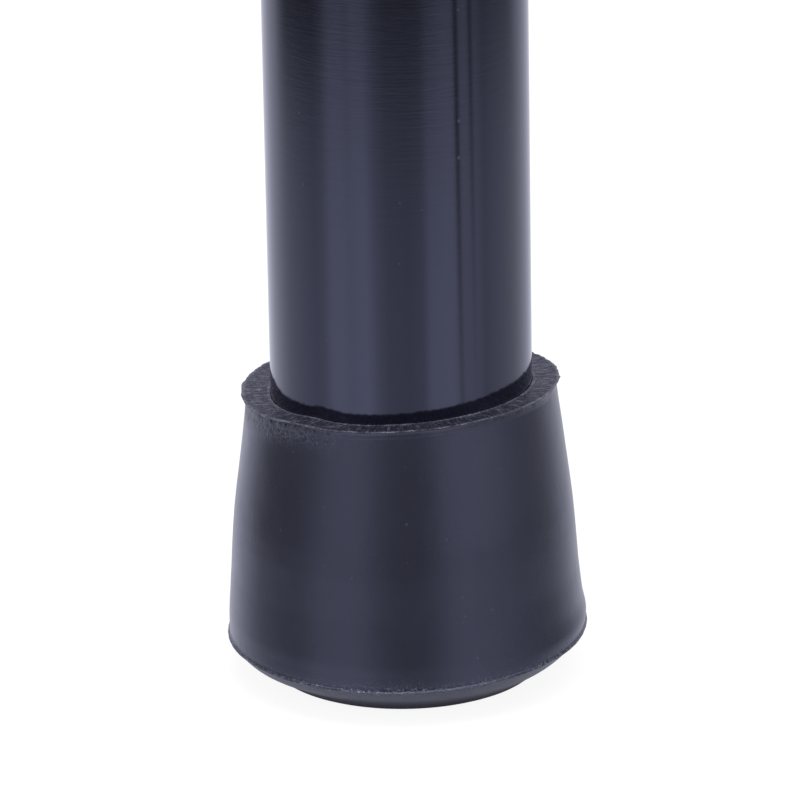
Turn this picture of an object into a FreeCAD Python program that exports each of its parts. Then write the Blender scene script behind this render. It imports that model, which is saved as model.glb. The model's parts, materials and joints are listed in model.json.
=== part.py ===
import FreeCAD, Part
import math
import os

# Ladder stabilizer: a crossbar clamped to a ladder rung by two U-bolt clamps, with a bent arm
# telescoping out of each end and a rubber foot on each arm.
#
# Frame: millimetres. +Z points from the wall (the plane both feet stand on, Z = 0) to the ladder.
# +X runs along the crossbar. The origin is on the feet's plane, midway between the feet.
# "left" is -X and "right" is +X, "front" is -Y and "rear" is +Y, "low" is toward the wall.
# Paired pieces are built on the right; the clamp is built at the origin and moved into place.

Vector = FreeCAD.Vector
X_AXIS, Y_AXIS, Z_AXIS = Vector(1, 0, 0), Vector(0, 1, 0), Vector(0, 0, 1)

# ---------------------------------------------------------------- shared dimensions
FEET_SPACING = 1120.0      # between the foot centres, with the arms at mid travel
AXIS_Z = 285.0             # crossbar axis above the feet's plane (the stand-off)
BEND_R = 100.0             # arm bend, on the tube's centre line

ARM_OD, ARM_WALL = 32.0, 1.8
BAR_OD, BAR_WALL = 38.0, 2.0
BAR_LEN = 760.0
ARM_INNER_X = 230.0        # inner end of the right arm
SLIDE = 60.0               # arm travel each way from rest
SLOT_X = 285.0             # middle of the lock slot, where the lock stud is at rest

BAR_R, BAR_INNER_R = BAR_OD / 2, BAR_OD / 2 - BAR_WALL
ARM_R, ARM_INNER_R = ARM_OD / 2, ARM_OD / 2 - ARM_WALL
FOOT_X = FEET_SPACING / 2
BAR_END = BAR_LEN / 2

RUN_GAP = 0.1              # radial running clearance of the arm in its bushing
FIT_GAP = 0.05             # radial clearance of close fits
PRESS_GAP = 0.02           # radial clearance of pressed-in parts
FACE_GAP = 0.02            # between parts that bear on each other and turn

RIVET_R, RIVET_X = 1.6, 368.0

FOOT_FLOOR_Z = 8.0         # bottom of the foot's bore, where the disc lies
DISC_T = 1.5

SADDLE_T = 3.6             # saddle washer, below the crossbar's lowest line
STUD_R, STUD_HOLE_R = 3.92, 4.3
STUD_DEPTH = 14.9          # stud length inside the knob
BAR_LOW_Z = AXIS_Z - BAR_R
KNOB_TOP_Z = BAR_LOW_Z - SADDLE_T - FACE_GAP   # the knob's bearing face

# Clamp heights are from the crossbar axis
CLAMP_X = 140.0            # middle of each clamp along the crossbar
SEAT_R = 20.6              # block and strap seats, around the liner
RUNG_DZ = 62.0             # rung axis
ROD_R = 4.0                # U-bolt rod
LEG_Y = 25.2               # U-bolt leg from the middle
LEG_HOLE_R = 4.6
STRAP_T = 4.0
STRAP_EAR_Z = -17.0        # upper face of the strap's ears
STRAP_LOW_Z = STRAP_EAR_Z - STRAP_T
WASHER_T = 1.6

OVERCUT = 2.0              # how far a cutter stands clear of what it cuts
CUTTER_LEN = 60.0          # longer than any small part it trims
FLAT = 1e-6                # an edge with less extent than this lies in a plane
ON_FACE = 1e-3             # an edge this near a level lies on it


# ---------------------------------------------------------------- helpers
def cylinder(radius, height, base, axis=Z_AXIS):
    return Part.makeCylinder(radius, height, Vector(*base), axis)


def tube(outer_r, inner_r, height, base, axis=Z_AXIS):
    return cylinder(outer_r, height, base, axis).cut(cylinder(inner_r, height, base, axis))


def closed_face(points, place):
    """A face inside a closed outline. points holds (a, b) corners, or ((a, b), (am, bm)) for a
    corner reached along an arc through (am, bm). place maps (a, b) to a vector."""
    corners = [p[0] if isinstance(p[0], tuple) else p for p in points]
    edges = []
    for i in range(len(points)):
        j = (i + 1) % len(points)
        start, end = place(*corners[i]), place(*corners[j])
        if isinstance(points[j][0], tuple):
            edges.append(Part.Arc(start, place(*points[j][1]), end).toShape())
        else:
            edges.append(Part.makeLine(start, end))
    return Part.Face(Part.Wire(edges))


def turned(points, x=0.0):
    """Solid of revolution of a (radius, z) outline about the Z direction, centred at x."""
    face = closed_face(points, lambda radius, z: Vector(x + radius, 0, z))
    return face.revolve(Vector(x, 0, 0), Z_AXIS, 360)


def extruded_along_x(points, length):
    """A (y, z) outline extruded along X, centred on x = 0."""
    face = closed_face(points, lambda y, z: Vector(-length / 2, y, z))
    return face.extrude(Vector(length, 0, 0))


def bent_rod(radius, start, normal, pivot, axis, degrees):
    """A disc at start, swung about an axis through pivot."""
    disc = Part.Face(Part.Wire(Part.makeCircle(radius, Vector(*start), normal)))
    return disc.revolve(Vector(*pivot), axis, degrees)


def fillet(shape, radius, pick):
    """Round the edges whose bounding box pick accepts."""
    return shape.makeFillet(radius, [e for e in shape.Edges if pick(e.BoundBox)])


def one_solid(shape):
    solids = shape.removeSplitter().Solids
    return solids[0] if len(solids) == 1 else Part.Compound(solids)


def opposite(shape):
    """The other side's copy: half a turn about Z."""
    copy = shape.copy()
    copy.rotate(Vector(0, 0, 0), Z_AXIS, 180)
    return copy


def moved(shape, x=0.0, y=0.0, z=0.0):
    copy = shape.copy()
    copy.translate(Vector(x, y, z))
    return copy


def polar(radius, degrees, x):
    """An (x, y) point on a circle centred at (x, 0)."""
    angle = math.radians(degrees)
    return (x + radius * math.cos(angle), radius * math.sin(angle))


def half_chord(radius, offset):
    """Half the width of a circle at a distance from its centre."""
    return math.sqrt(radius**2 - offset**2)


def bar_axis_rod(radius, x):
    """A trimming cylinder on the crossbar axis, centred at x."""
    return cylinder(radius, CUTTER_LEN, (x - CUTTER_LEN / 2, 0, AXIS_Z), X_AXIS)


def rivet_drill(x):
    """Cuts the rivet holes through the front and rear walls."""
    length = 2 * (BAR_R + OVERCUT)
    return cylinder(RIVET_R + FIT_GAP, length, (x, -BAR_R - OVERCUT, AXIS_Z), Y_AXIS)


def stud_drill(radius):
    """Cuts from below the saddle washer up to the crossbar axis."""
    depth = 40.0
    return cylinder(radius, depth, (SLOT_X, 0, AXIS_Z - depth))


# ---------------------------------------------------------------- crossbar
def crossbar_tube():
    """Straight tube with a lock slot in its low wall and rivet holes near each end."""
    slot_w = 8.6
    slot_spare = 0.4       # slot length past the stud's travel, each end
    half_len = SLIDE + slot_spare
    depth = BAR_R + OVERCUT
    low_z = AXIS_Z - depth
    bar = tube(BAR_R, BAR_INNER_R, BAR_LEN, (-BAR_END, 0, AXIS_Z), X_AXIS)
    for side in (-1, 1):
        slot_ends = (side * SLOT_X - half_len, side * SLOT_X + half_len)
        slot = Part.makeBox(2 * half_len, slot_w, depth, Vector(slot_ends[0], -slot_w / 2, low_z))
        for x in slot_ends:
            slot = slot.fuse(cylinder(slot_w / 2, depth, (x, 0, low_z)))
        bar = bar.cut(slot)
        bar = bar.cut(rivet_drill(side * RIVET_X))
    return one_solid(bar)


def mouth_bushing():
    """Flanged plastic ring that guides the arm in the end of the crossbar."""
    length = 25.0
    flange_t, flange_r = 6.0, 20.4
    outer_round, inner_round = 1.8, 0.6
    bore_r = ARM_R + RUN_GAP
    face_split_x = BAR_END + 1     # lies between the flange's two faces

    def is_rim(box):
        return box.XLength < FLAT and box.ZLength > 2 * flange_r - 1

    sleeve = tube(BAR_INNER_R - PRESS_GAP, bore_r, length, (BAR_END - length, 0, AXIS_Z), X_AXIS)
    flange = tube(flange_r, bore_r, flange_t, (BAR_END, 0, AXIS_Z), X_AXIS)
    flange = fillet(flange, outer_round, lambda box: is_rim(box) and box.XMin > face_split_x)
    flange = fillet(flange, inner_round, lambda box: is_rim(box) and box.XMin < face_split_x)
    return one_solid(sleeve.fuse(flange).cut(rivet_drill(RIVET_X)))


def bushing_rivets():
    """Two dome rivets, front and rear, that hold a bushing."""
    head_r, head_h = 3.4, 1.5
    box_w, box_h = 10.0, 6.0       # keeps only the dome of the ball
    seat = BAR_R - 0.3             # the dome starts just inside the tube's surface
    shank_outer = BAR_R + 0.5
    shank_inner = ARM_R + RUN_GAP + 0.1
    ball_r = (head_r**2 + head_h**2) / (2 * head_h)
    rivets = []
    for side in (-1, 1):
        ball = Part.makeSphere(ball_r, Vector(RIVET_X, side * (seat + head_h - ball_r), AXIS_Z))
        box_y = seat if side > 0 else -seat - box_h
        corner = Vector(RIVET_X - box_w / 2, box_y, AXIS_Z - box_w / 2)
        head = ball.common(Part.makeBox(box_w, box_h, box_w, corner))
        shank_start = (RIVET_X, side * shank_inner, AXIS_Z)
        shank = cylinder(RIVET_R, shank_outer - shank_inner, shank_start, Vector(0, side, 0))
        head = head.cut(bar_axis_rod(BAR_R, RIVET_X))
        rivets.append(one_solid(head.fuse(shank)))
    return Part.Compound(rivets)


# ---------------------------------------------------------------- arm
def arm_rods(radius):
    """Round rods along the arm's centre line: along +X, round the bend, down to the foot."""
    bend_x, bend_z = FOOT_X - BEND_R, AXIS_Z - BEND_R
    end_z = FOOT_FLOOR_Z + DISC_T + 0.05       # just clear of the foot's disc
    level = cylinder(radius, bend_x - ARM_INNER_X, (ARM_INNER_X, 0, AXIS_Z), X_AXIS)
    bend = bent_rod(radius, (bend_x, 0, AXIS_Z), X_AXIS, (bend_x, 0, bend_z), Y_AXIS, 90)
    leg = cylinder(radius, bend_z - end_z, (FOOT_X, 0, end_z))
    return level, bend, leg


def arm_tube():
    """Bent tube with a hole for the lock stud in its low wall."""
    rods = zip(arm_rods(ARM_R), arm_rods(ARM_INNER_R))
    level, bend, leg = [outer.cut(inner) for outer, inner in rods]
    return one_solid(level.fuse([bend, leg]).cut(stud_drill(STUD_HOLE_R)))


def arm_glide():
    """Plug in the arm's inner end: its collar runs in the crossbar and stops at the bushing."""
    collar_r = BAR_INNER_R - RUN_GAP
    plug_r = ARM_INNER_R - FIT_GAP
    bore_r = 9.5
    collar_end, plug_end = -8.0, 20.0
    shoulder = -FACE_GAP           # bears on the end of the arm
    glide = turned([
        (bore_r, collar_end), (collar_r - 1.0, collar_end), (collar_r, collar_end + 1.0),
        (collar_r, -1.0), (BAR_INNER_R - 0.6, shoulder), (plug_r, shoulder),
        (plug_r, plug_end - 1.5), (ARM_INNER_R - 1.5, plug_end), (bore_r, plug_end),
    ])
    glide.rotate(Vector(0, 0, 0), Y_AXIS, 90)
    glide.translate(Vector(ARM_INNER_X, 0, AXIS_Z))
    return glide


def arm_weld_nut():
    """Hexagon nut inside the arm, shaped to its inner wall, that takes the knob's stud."""
    across_flats, height, bore_r = 13.0, 6.5, 4.0
    sunk = 1.0                     # extra length below, trimmed to the arm's wall
    hexagon = [polar(across_flats / math.sqrt(3), 60 * k + 30, SLOT_X) for k in range(6)]
    face = closed_face(hexagon, lambda x, y: Vector(x, y, AXIS_Z - ARM_INNER_R - sunk))
    nut = face.extrude(Vector(0, 0, height + sunk))
    nut = nut.common(bar_axis_rod(ARM_INNER_R - PRESS_GAP, SLOT_X))
    return one_solid(nut.cut(stud_drill(bore_r)))


# ---------------------------------------------------------------- foot
def rubber_foot():
    """Flared cup around the arm's end, with two ring grooves in its base."""
    height = 35.5
    bore_r = ARM_R + FIT_GAP
    bore_chamfer = 0.4
    base_r, rim_r = 17.2, 18.9
    mid_r, mid_z = 20.85, 20.7
    edge_r, edge_z = 22.0, 4.7     # widest circle, where the mould parts
    groove_h = 0.9
    return turned([
        (0.0, 0.0),
        (4.2, 0.0), (5.0, groove_h), (6.6, groove_h), (7.4, 0.0),
        (9.6, 0.0), (10.4, groove_h), (12.0, groove_h), (12.8, 0.0),
        (base_r - 1.2, 0.0),
        ((base_r + 0.75, 0.85), (base_r - 0.1, 0.22)),
        (edge_r - 0.35, edge_z - 0.5),
        ((edge_r, edge_z + 0.3), (edge_r - 0.02, edge_z - 0.15)),
        ((rim_r, height), (mid_r, mid_z)),
        (bore_r + bore_chamfer, height), (bore_r, height - bore_chamfer),
        (bore_r, FOOT_FLOOR_Z), (0.0, FOOT_FLOOR_Z),
    ], FOOT_X)


def foot_disc():
    """Steel disc on the floor of the foot's bore."""
    hole_r, disc_r = 3.0, 15.6
    disc = turned([(hole_r, 0.0), (disc_r, 0.0), (disc_r, DISC_T), (hole_r, DISC_T)], FOOT_X)
    return moved(disc, z=FOOT_FLOOR_Z)


# ---------------------------------------------------------------- lock knob
def saddle_washer():
    """Hollow on top to sit on the crossbar, flat below."""
    radius = 11.5
    rise = 1.6                     # height of its sides above the crossbar's lowest line
    blank_rise = 4.0
    low_z = BAR_LOW_Z - SADDLE_T
    half = CUTTER_LEN / 2
    saddle = cylinder(radius, SADDLE_T + blank_rise, (SLOT_X, 0, low_z))
    saddle = saddle.cut(bar_axis_rod(BAR_R + FACE_GAP, SLOT_X))
    keep = Part.makeBox(CUTTER_LEN, CUTTER_LEN, SADDLE_T + rise, Vector(SLOT_X - half, -half, low_z))
    return one_solid(saddle.common(keep).cut(stud_drill(STUD_HOLE_R)))


def knob_head():
    """Lobed grip below a round neck, with a blind hole for the stud."""
    radius, height = 18.0, 22.0
    neck_r, neck_h = 9.5, 7.0
    neck_overlap = 1.0
    lobes = 5
    valley_r, valley_at = 9.0, radius + 4.6
    lobe_round, low_round, top_round = 1.6, 2.2, 1.0
    hole_depth = STUD_DEPTH + 0.1
    grip_top, grip_low = KNOB_TOP_Z - neck_h, KNOB_TOP_Z - height

    neck = cylinder(neck_r, neck_h + neck_overlap, (SLOT_X, 0, grip_top - neck_overlap))
    grip = cylinder(radius, height - neck_h, (SLOT_X, 0, grip_low))
    for k in range(lobes):
        x, y = polar(valley_at, 360.0 / lobes * (k + 0.5) + 90, SLOT_X)
        grip = grip.cut(cylinder(valley_r, height, (x, y, grip_low - 1)))
    grip = fillet(grip, lobe_round, lambda box: box.ZLength > 5)
    grip = fillet(grip, low_round, lambda box: box.ZLength < FLAT and box.ZMax < grip_low + 0.1)
    grip = fillet(grip, top_round, lambda box: box.ZLength < FLAT and box.ZMin > grip_top - 0.1)
    hole = cylinder(STUD_R + FIT_GAP, hole_depth + 1, (SLOT_X, 0, KNOB_TOP_Z - hole_depth))
    return one_solid(grip.fuse(neck).cut(hole))


def knob_stud():
    """Round stud with a chamfered tip, from inside the knob to inside the arm."""
    low_z, tip_z = KNOB_TOP_Z - STUD_DEPTH, AXIS_Z - 6.5
    chamfer = 0.8
    return turned([
        (0, low_z), (STUD_R, low_z), (STUD_R, tip_z - chamfer), (STUD_R - chamfer, tip_z),
        (0, tip_z),
    ], SLOT_X)


# ---------------------------------------------------------------- rung clamp
def clamp_liner():
    """Thin sleeve around the crossbar, slit along its rear."""
    length, outer_r = 56.0, 20.5
    slit_w, slit_depth = 2.4, 6.0
    liner = tube(outer_r, BAR_R + FIT_GAP, length, (-length / 2, 0, 0), X_AXIS)
    corner = Vector(-length / 2 - 1, BAR_R - 1.5, -slit_w / 2)
    return one_solid(liner.cut(Part.makeBox(length + 2, slit_depth, slit_w, corner)))


def rung_block():
    """Block between the crossbar and the rung, with a round seat for each."""
    length, half_w = 48.0, 33.0
    low_z, high_z = 9.0, 52.5
    rung_seat_r = 19.1
    corner_round, rim_round = 6.0, 1.2
    # pockets cored from both ends, on both sides of the middle
    pocket_len, pocket_w, pocket_h = 19.0, 13.0, 15.0
    pocket_x, pocket_y, pocket_z = 5.5, 2.0, 24.2
    pocket_round = 2.5

    low_y = half_chord(SEAT_R, low_z)
    high_y = half_chord(rung_seat_r, RUNG_DZ - high_z)
    block = extruded_along_x([
        ((low_y, low_z), (0.0, SEAT_R)),
        (half_w, low_z), (half_w, high_z), (high_y, high_z),
        ((-high_y, high_z), (0.0, RUNG_DZ - rung_seat_r)),
        (-half_w, high_z), (-half_w, low_z), (-low_y, low_z),
    ], length)

    def is_corner(box):
        return box.ZLength > 30 and abs(box.YMin) > half_w - 0.1

    def is_rim(box):
        """Outer edges of the low and high faces."""
        level = abs(box.ZMin - low_z) < ON_FACE or abs(box.ZMin - high_z) < ON_FACE
        reach = max(abs(box.YMin), abs(box.YMax))
        seat_edge = box.YLength < FLAT and reach < half_w - 1
        return box.ZLength < FLAT and level and reach > half_w - 8 and not seat_edge

    block = fillet(block, corner_round, is_corner)
    block = fillet(block, rim_round, is_rim)
    for side in (-1, 1):
        block = block.cut(cylinder(LEG_HOLE_R, 80, (0, side * LEG_Y, 0)))
        for end in (-1, 1):
            x = pocket_x if end > 0 else -pocket_x - pocket_len
            y = pocket_y if side > 0 else -pocket_y - pocket_w
            pocket = Part.makeBox(pocket_len, pocket_w, pocket_h, Vector(x, y, pocket_z))
            block = block.cut(fillet(pocket, pocket_round, lambda box: box.XLength > 10))
    return one_solid(block)


def clamp_strap():
    """Pressed strap under the crossbar, with a drilled ear at the front and rear."""
    width, half_len = 30.0, 35.0
    corner_round, bend_round = 8.0, 1.5
    outer_r = SEAT_R + STRAP_T
    inner_y = half_chord(SEAT_R, STRAP_EAR_Z)
    outer_y = half_chord(outer_r, STRAP_LOW_Z)
    strap = extruded_along_x([
        ((inner_y, STRAP_EAR_Z), (0.0, -SEAT_R)),
        (half_len, STRAP_EAR_Z), (half_len, STRAP_LOW_Z), (outer_y, STRAP_LOW_Z),
        ((-outer_y, STRAP_LOW_Z), (0.0, -outer_r)),
        (-half_len, STRAP_LOW_Z), (-half_len, STRAP_EAR_Z), (-inner_y, STRAP_EAR_Z),
    ], width)

    def is_ear_corner(box):
        return box.ZLength > 1 and abs(box.YMin) > half_len - 0.1 and box.XLength < FLAT

    def is_bend(box):
        """Lower edges where the ears meet the round."""
        low = abs(box.ZMin - STRAP_LOW_Z) < ON_FACE
        return box.XLength > 20 and low and abs(box.YMin) < 15 and box.YLength < FLAT

    strap = fillet(strap, corner_round, is_ear_corner)
    strap = fillet(strap, bend_round, is_bend)
    for side in (-1, 1):
        strap = strap.cut(cylinder(LEG_HOLE_R, 20, (0, side * LEG_Y, -30)))
    return one_solid(strap)


def clamp_washers():
    outer_r, hole_r = 9.0, 4.3
    low_z = STRAP_LOW_Z - WASHER_T
    return Part.Compound([
        tube(outer_r, hole_r, WASHER_T, (0, side * LEG_Y, low_z)) for side in (-1, 1)
    ])


def wing_nut():
    """Bears upward on its washer; the wings spread away from it, downward. Built at y = 0."""
    height, base_r, top_r, bore_r = 9.5, 8.0, 6.3, 4.0
    wing_r, wing_h, wing_t = 18.0, 18.5, 3.2
    end_round, side_round = 1.5, 0.9
    hub = turned([
        (0.0, 0.0), (base_r - 0.5, 0.0), (base_r, -0.5), (base_r, -1.6),
        (top_r, -height + 0.8), (top_r - 0.8, -height), (0.0, -height),
    ])
    # (x, z) corners of the +X wing, some with the middle of the arc that reaches them
    outline = [
        (2.0, -1.8), (7.5, -2.4),
        ((15.2, -8.2), (12.0, -4.4)), ((wing_r, -14.6), (17.2, -11.2)),
        ((15.0, -wing_h), (17.6, -17.5)), ((10.6, -15.0), (12.3, -17.4)),
        ((6.6, -9.3), (9.0, -12.0)), (2.0, -8.6),
    ]
    face = closed_face(outline, lambda x, z: Vector(x, -wing_t / 2, z))
    wing = face.extrude(Vector(0, wing_t, 0))
    wing = fillet(wing, end_round, lambda box: box.YLength > wing_t - 0.1 and box.XMin > 8)
    wing = fillet(wing, side_round, lambda box: box.YLength < FLAT and box.XMin > 7.4)
    nut = hub.fuse([wing, opposite(wing)])
    nut = nut.cut(cylinder(bore_r, height + 30, (0, 0, -height - 20)))
    # countersink at the bearing face
    sink = Part.makeCone(bore_r + 0.7, bore_r - 0.3, 1.0, Vector(0, 0, 0), Vector(0, 0, -1))
    return moved(one_solid(nut.cut(sink)), z=STRAP_LOW_Z - WASHER_T - FACE_GAP)


def crown_rod(radius):
    """Half ring over the rung, joining the tops of the U-bolt's legs."""
    return bent_rod(radius, (0, LEG_Y, RUNG_DZ), Z_AXIS, (0, 0, RUNG_DZ), X_AXIS, 180)


def u_bolt():
    """Two legs and a half ring; the threaded leg ends are plain at crest size."""
    thread_r, thread_top = 3.92, -8.0
    end_z, chamfer = -54.0, 1.0
    leg = turned([
        (0, RUNG_DZ), (ROD_R, RUNG_DZ), (ROD_R, thread_top), (thread_r, thread_top),
        (thread_r, end_z + chamfer), (thread_r - chamfer, end_z), (0, end_z),
    ])
    front_leg, rear_leg = moved(leg, y=-LEG_Y), moved(leg, y=LEG_Y)
    return one_solid(front_leg.fuse([rear_leg, crown_rod(ROD_R)]))


def u_bolt_sleeve():
    """Vinyl sleeve over the U-bolt's crown, with a short straight length at each end."""
    outer_r, inner_r = 6.0, ROD_R + FIT_GAP
    straight = 5.5
    crown = crown_rod(outer_r).cut(crown_rod(inner_r))
    ends = [
        tube(outer_r, inner_r, straight, (0, side * LEG_Y, RUNG_DZ - straight))
        for side in (-1, 1)
    ]
    return one_solid(crown.fuse(ends))


# ---------------------------------------------------------------- assembly
right_parts = {
    "mouth_bushing": mouth_bushing(),
    "bushing_rivets": bushing_rivets(),
    "arm_tube": arm_tube(),
    "arm_glide": arm_glide(),
    "arm_weld_nut": arm_weld_nut(),
    "foot": rubber_foot(),
    "foot_disc": foot_disc(),
    "saddle_washer": saddle_washer(),
    "knob_head": knob_head(),
    "knob_stud": knob_stud(),
}
nut_shape = wing_nut()
clamp_parts = {
    "clamp_liner": clamp_liner(),
    "rung_block": rung_block(),
    "clamp_strap": clamp_strap(),
    "clamp_washers": clamp_washers(),
    "u_bolt": u_bolt(),
    "u_bolt_sleeve": u_bolt_sleeve(),
    "front_wing_nut": moved(nut_shape, y=-LEG_Y),
    "rear_wing_nut": moved(nut_shape, y=LEG_Y),
}

parts = {"crossbar_tube": crossbar_tube()}
for name, shape in right_parts.items():
    parts["right_" + name] = shape
    parts["left_" + name] = opposite(shape)
for name, shape in clamp_parts.items():
    parts["right_" + name] = moved(shape, x=CLAMP_X, z=AXIS_Z)
    parts["left_" + name] = moved(shape, x=-CLAMP_X, z=AXIS_Z)

os.makedirs("parts", exist_ok=True)
for name, shape in parts.items():
    shape.exportStep(os.path.join("parts", name + ".step"))
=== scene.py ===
# A ladder stabilizer, standing on the floor at z = 0 with +Z up and its front towards -Y.
# The crossbar lies along X. An arm slides into each end, bends down and stands in a rubber foot.
# A knob under the crossbar locks each arm, and two U-bolts rise from the crossbar round a rung.
# Shapes are built in millimetres and stored in metres. The right-hand pieces (+X) are built
# first where the sides are alike; the left ones are moved or turned copies.
import json
import math

import bmesh
import bpy
import numpy as np
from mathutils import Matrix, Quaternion, Vector


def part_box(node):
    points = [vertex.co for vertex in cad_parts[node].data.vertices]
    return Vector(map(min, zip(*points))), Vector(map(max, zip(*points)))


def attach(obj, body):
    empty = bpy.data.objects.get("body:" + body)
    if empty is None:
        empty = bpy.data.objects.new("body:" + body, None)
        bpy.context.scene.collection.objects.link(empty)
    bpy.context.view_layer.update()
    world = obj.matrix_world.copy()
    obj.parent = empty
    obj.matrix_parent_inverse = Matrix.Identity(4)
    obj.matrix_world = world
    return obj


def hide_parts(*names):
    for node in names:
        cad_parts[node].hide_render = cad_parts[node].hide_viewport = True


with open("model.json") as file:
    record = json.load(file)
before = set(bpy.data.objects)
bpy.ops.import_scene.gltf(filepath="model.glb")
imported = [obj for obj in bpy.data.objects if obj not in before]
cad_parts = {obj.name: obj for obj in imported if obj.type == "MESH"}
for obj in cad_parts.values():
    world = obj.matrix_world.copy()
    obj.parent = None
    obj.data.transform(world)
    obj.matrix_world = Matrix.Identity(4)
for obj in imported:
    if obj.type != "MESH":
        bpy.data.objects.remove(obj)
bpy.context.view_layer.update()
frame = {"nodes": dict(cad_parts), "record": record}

SCENE = bpy.context.scene
TAU = 2 * math.pi


def box_mm(node):
    """Lowest and highest corner of a CAD node, in mm."""
    low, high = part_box(node)
    return np.array(low) * 1000.0, np.array(high) * 1000.0


def middle(node):
    low, high = box_mm(node)
    return (low + high) / 2


# ------------------------------------------------------------------ driving sizes, in mm
H = float(middle("crossbar_tube")[2])          # height of the crossbar's axis
BAR_LO, BAR_HI = box_mm("crossbar_tube")
BAR_R = float(BAR_HI[2] - BAR_LO[2]) / 2
BAR_IN = BAR_R - 2.0                           # 2 mm wall
BAR_END = float(BAR_HI[0])
ARM_LO, ARM_HI = box_mm("right_arm_tube")
ARM_R = float(ARM_HI[1] - ARM_LO[1]) / 2
ARM_IN = ARM_R - 1.8                           # 1.8 mm wall
LEG_X = float(ARM_HI[0]) - ARM_R               # the arm's vertical stretch
ARM_X0 = float(ARM_LO[0])                      # the arm's end inside the crossbar
ARM_Z0 = float(ARM_LO[2])                      # the arm's end inside the foot
BEND_R = 100.0
HOLE_R = 4.3                                   # knob stud hole in the arm and slot end in the bar
KNOB_X = float(middle("right_knob_head")[0])
CLAMP_X = float(middle("right_rung_block")[0])
RIVET_X = float(middle("right_bushing_rivets")[0])
ROD_R = 4.0                                    # the U-bolt's rod
LEG_Y = 25.2                                   # U-bolt leg to the middle plane
_bolt_lo, _bolt_hi = box_mm("right_u_bolt")
LEG_END = float(_bolt_lo[2]) - H               # the legs' lower end, from the crossbar axis
RUNG_DZ = float(_bolt_hi[2]) - H - ROD_R - LEG_Y    # the crown's centre, from the same axis
PITCH = 1.25                                   # of every screw thread


# ------------------------------------------------------------------ noise, the same each run
def lattice_value(i, j, k, seed):
    """A repeatable value from -1 to 1 for each whole-number place."""
    h = (i * 374761393 + j * 668265263 + k * 1442695041 + seed * 974634777) & 0xFFFFFFFF
    h = ((h ^ (h >> 13)) * 1274126177) & 0xFFFFFFFF
    h = ((h ^ (h >> 15)) * 2246822519) & 0xFFFFFFFF
    h = h ^ (h >> 16)
    return h.astype(float) / 4294967295.0 * 2 - 1


def noise(points, seed):
    """Smooth value noise, about -1 to 1, at points (n, 3)."""
    cell = np.floor(points).astype(np.int64)
    part = points - cell
    ease = part * part * part * (part * (part * 6 - 15) + 10)
    out = np.zeros(len(points))
    for dx in (0, 1):
        for dy in (0, 1):
            for dz in (0, 1):
                weight = (
                    (ease[:, 0] if dx else 1 - ease[:, 0])
                    * (ease[:, 1] if dy else 1 - ease[:, 1])
                    * (ease[:, 2] if dz else 1 - ease[:, 2])
                )
                corner = (cell[:, 0] + dx, cell[:, 1] + dy, cell[:, 2] + dz)
                out += weight * lattice_value(*corner, seed)
    return out


def layered_noise(points, octaves, seed, gain=0.5):
    """Noise at doubling frequencies, each gain times as strong as the one before."""
    out, strength, total = np.zeros(len(points)), 1.0, 0.0
    for octave in range(octaves):
        out += strength * noise(points * 2.0**octave, seed + 17 * octave)
        total += strength
        strength *= gain
    return out / total


def smooth(start, end, x):
    """An eased step from 0 at start to 1 at end."""
    t = np.clip((np.asarray(x, float) - start) / (end - start), 0, 1)
    return t * t * (3 - 2 * t)


# ------------------------------------------------------------------ points
ALONG_X = [2, 0, 1]      # component order that lays polar() points along X


def turn_angles(cols, offset=0.0):
    return (np.arange(cols) + offset) * TAU / cols


def columns(rows):
    """The two columns of a table, each as (n, 1)."""
    return np.array(rows, float).T[..., None]


def polar(radius, theta, along):
    """Points (rows, cols, 3) round the Z axis."""
    parts = (radius * np.cos(theta), radius * np.sin(theta), along)
    return np.stack(np.broadcast_arrays(*parts), -1)


def rings_on(path, tangent, side, radius, theta):
    """Rings (rows, cols, 3) of radius (rows, cols) round a path that lies square to side."""
    normal = np.cross(np.broadcast_to(side, tangent.shape), tangent)
    cosine, sine = np.cos(theta)[None, :, None], np.sin(theta)[None, :, None]
    return path[:, None, :] + radius[..., None] * (cosine * normal[:, None, :] + sine * side)


def rounded(points, radii, steps, closed=True):
    """A polyline with each corner replaced by an arc-like curve of about that radius."""
    points = [np.array(p, float) for p in points]
    count = len(points)
    radii = np.broadcast_to(radii, count)
    out = []
    for i, corner in enumerate(points):
        if not closed and i in (0, count - 1):
            out.append(corner)
            continue
        back, ahead = points[i - 1] - corner, points[(i + 1) % count] - corner
        back_length, ahead_length = np.linalg.norm(back), np.linalg.norm(ahead)
        back, ahead = back / back_length, ahead / ahead_length
        angle = math.acos(max(-1, min(1, float(back @ ahead))))
        trim = radii[i] / max(math.tan(angle / 2), 0.05)
        trim = min(trim, 0.45 * back_length, 0.45 * ahead_length)
        first, last = corner + back * trim, corner + ahead * trim
        for t in np.linspace(0, 1, steps + 1):
            out.append((1 - t) ** 2 * first + 2 * t * (1 - t) * corner + t * t * last)
    return np.array(out)


def spaced(points, step):
    """Extra points on the long stretches of a polyline."""
    out = [points[0]]
    for a, b in zip(points[:-1], points[1:]):
        count = max(1, int(math.ceil(np.linalg.norm(b - a) / step)))
        for t in np.linspace(0, 1, count + 1)[1:]:
            out.append(a + (b - a) * t)
    return np.array(out)


def threaded(crest, depth, along, theta, start, end, phase=0.0):
    """Radius (rows, cols) of a screw thread between start and end, run out at both."""
    turn = (along[:, None] / PITCH + theta[None, :] / TAU + phase) % 1.0
    flank = np.clip((np.abs(turn - 0.5) * 2 - 0.08) / 0.80, 0, 1)      # 1 on the crest
    fade = smooth(start - PITCH, start + PITCH, along) * (1 - smooth(end - PITCH * 0.8, end, along))
    return crest - depth * (1 - flank) * fade[:, None]


# ------------------------------------------------------------------ meshes
def link(name, mesh):
    made = bpy.data.objects.new(name, mesh)
    SCENE.collection.objects.link(made)
    return made


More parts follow.
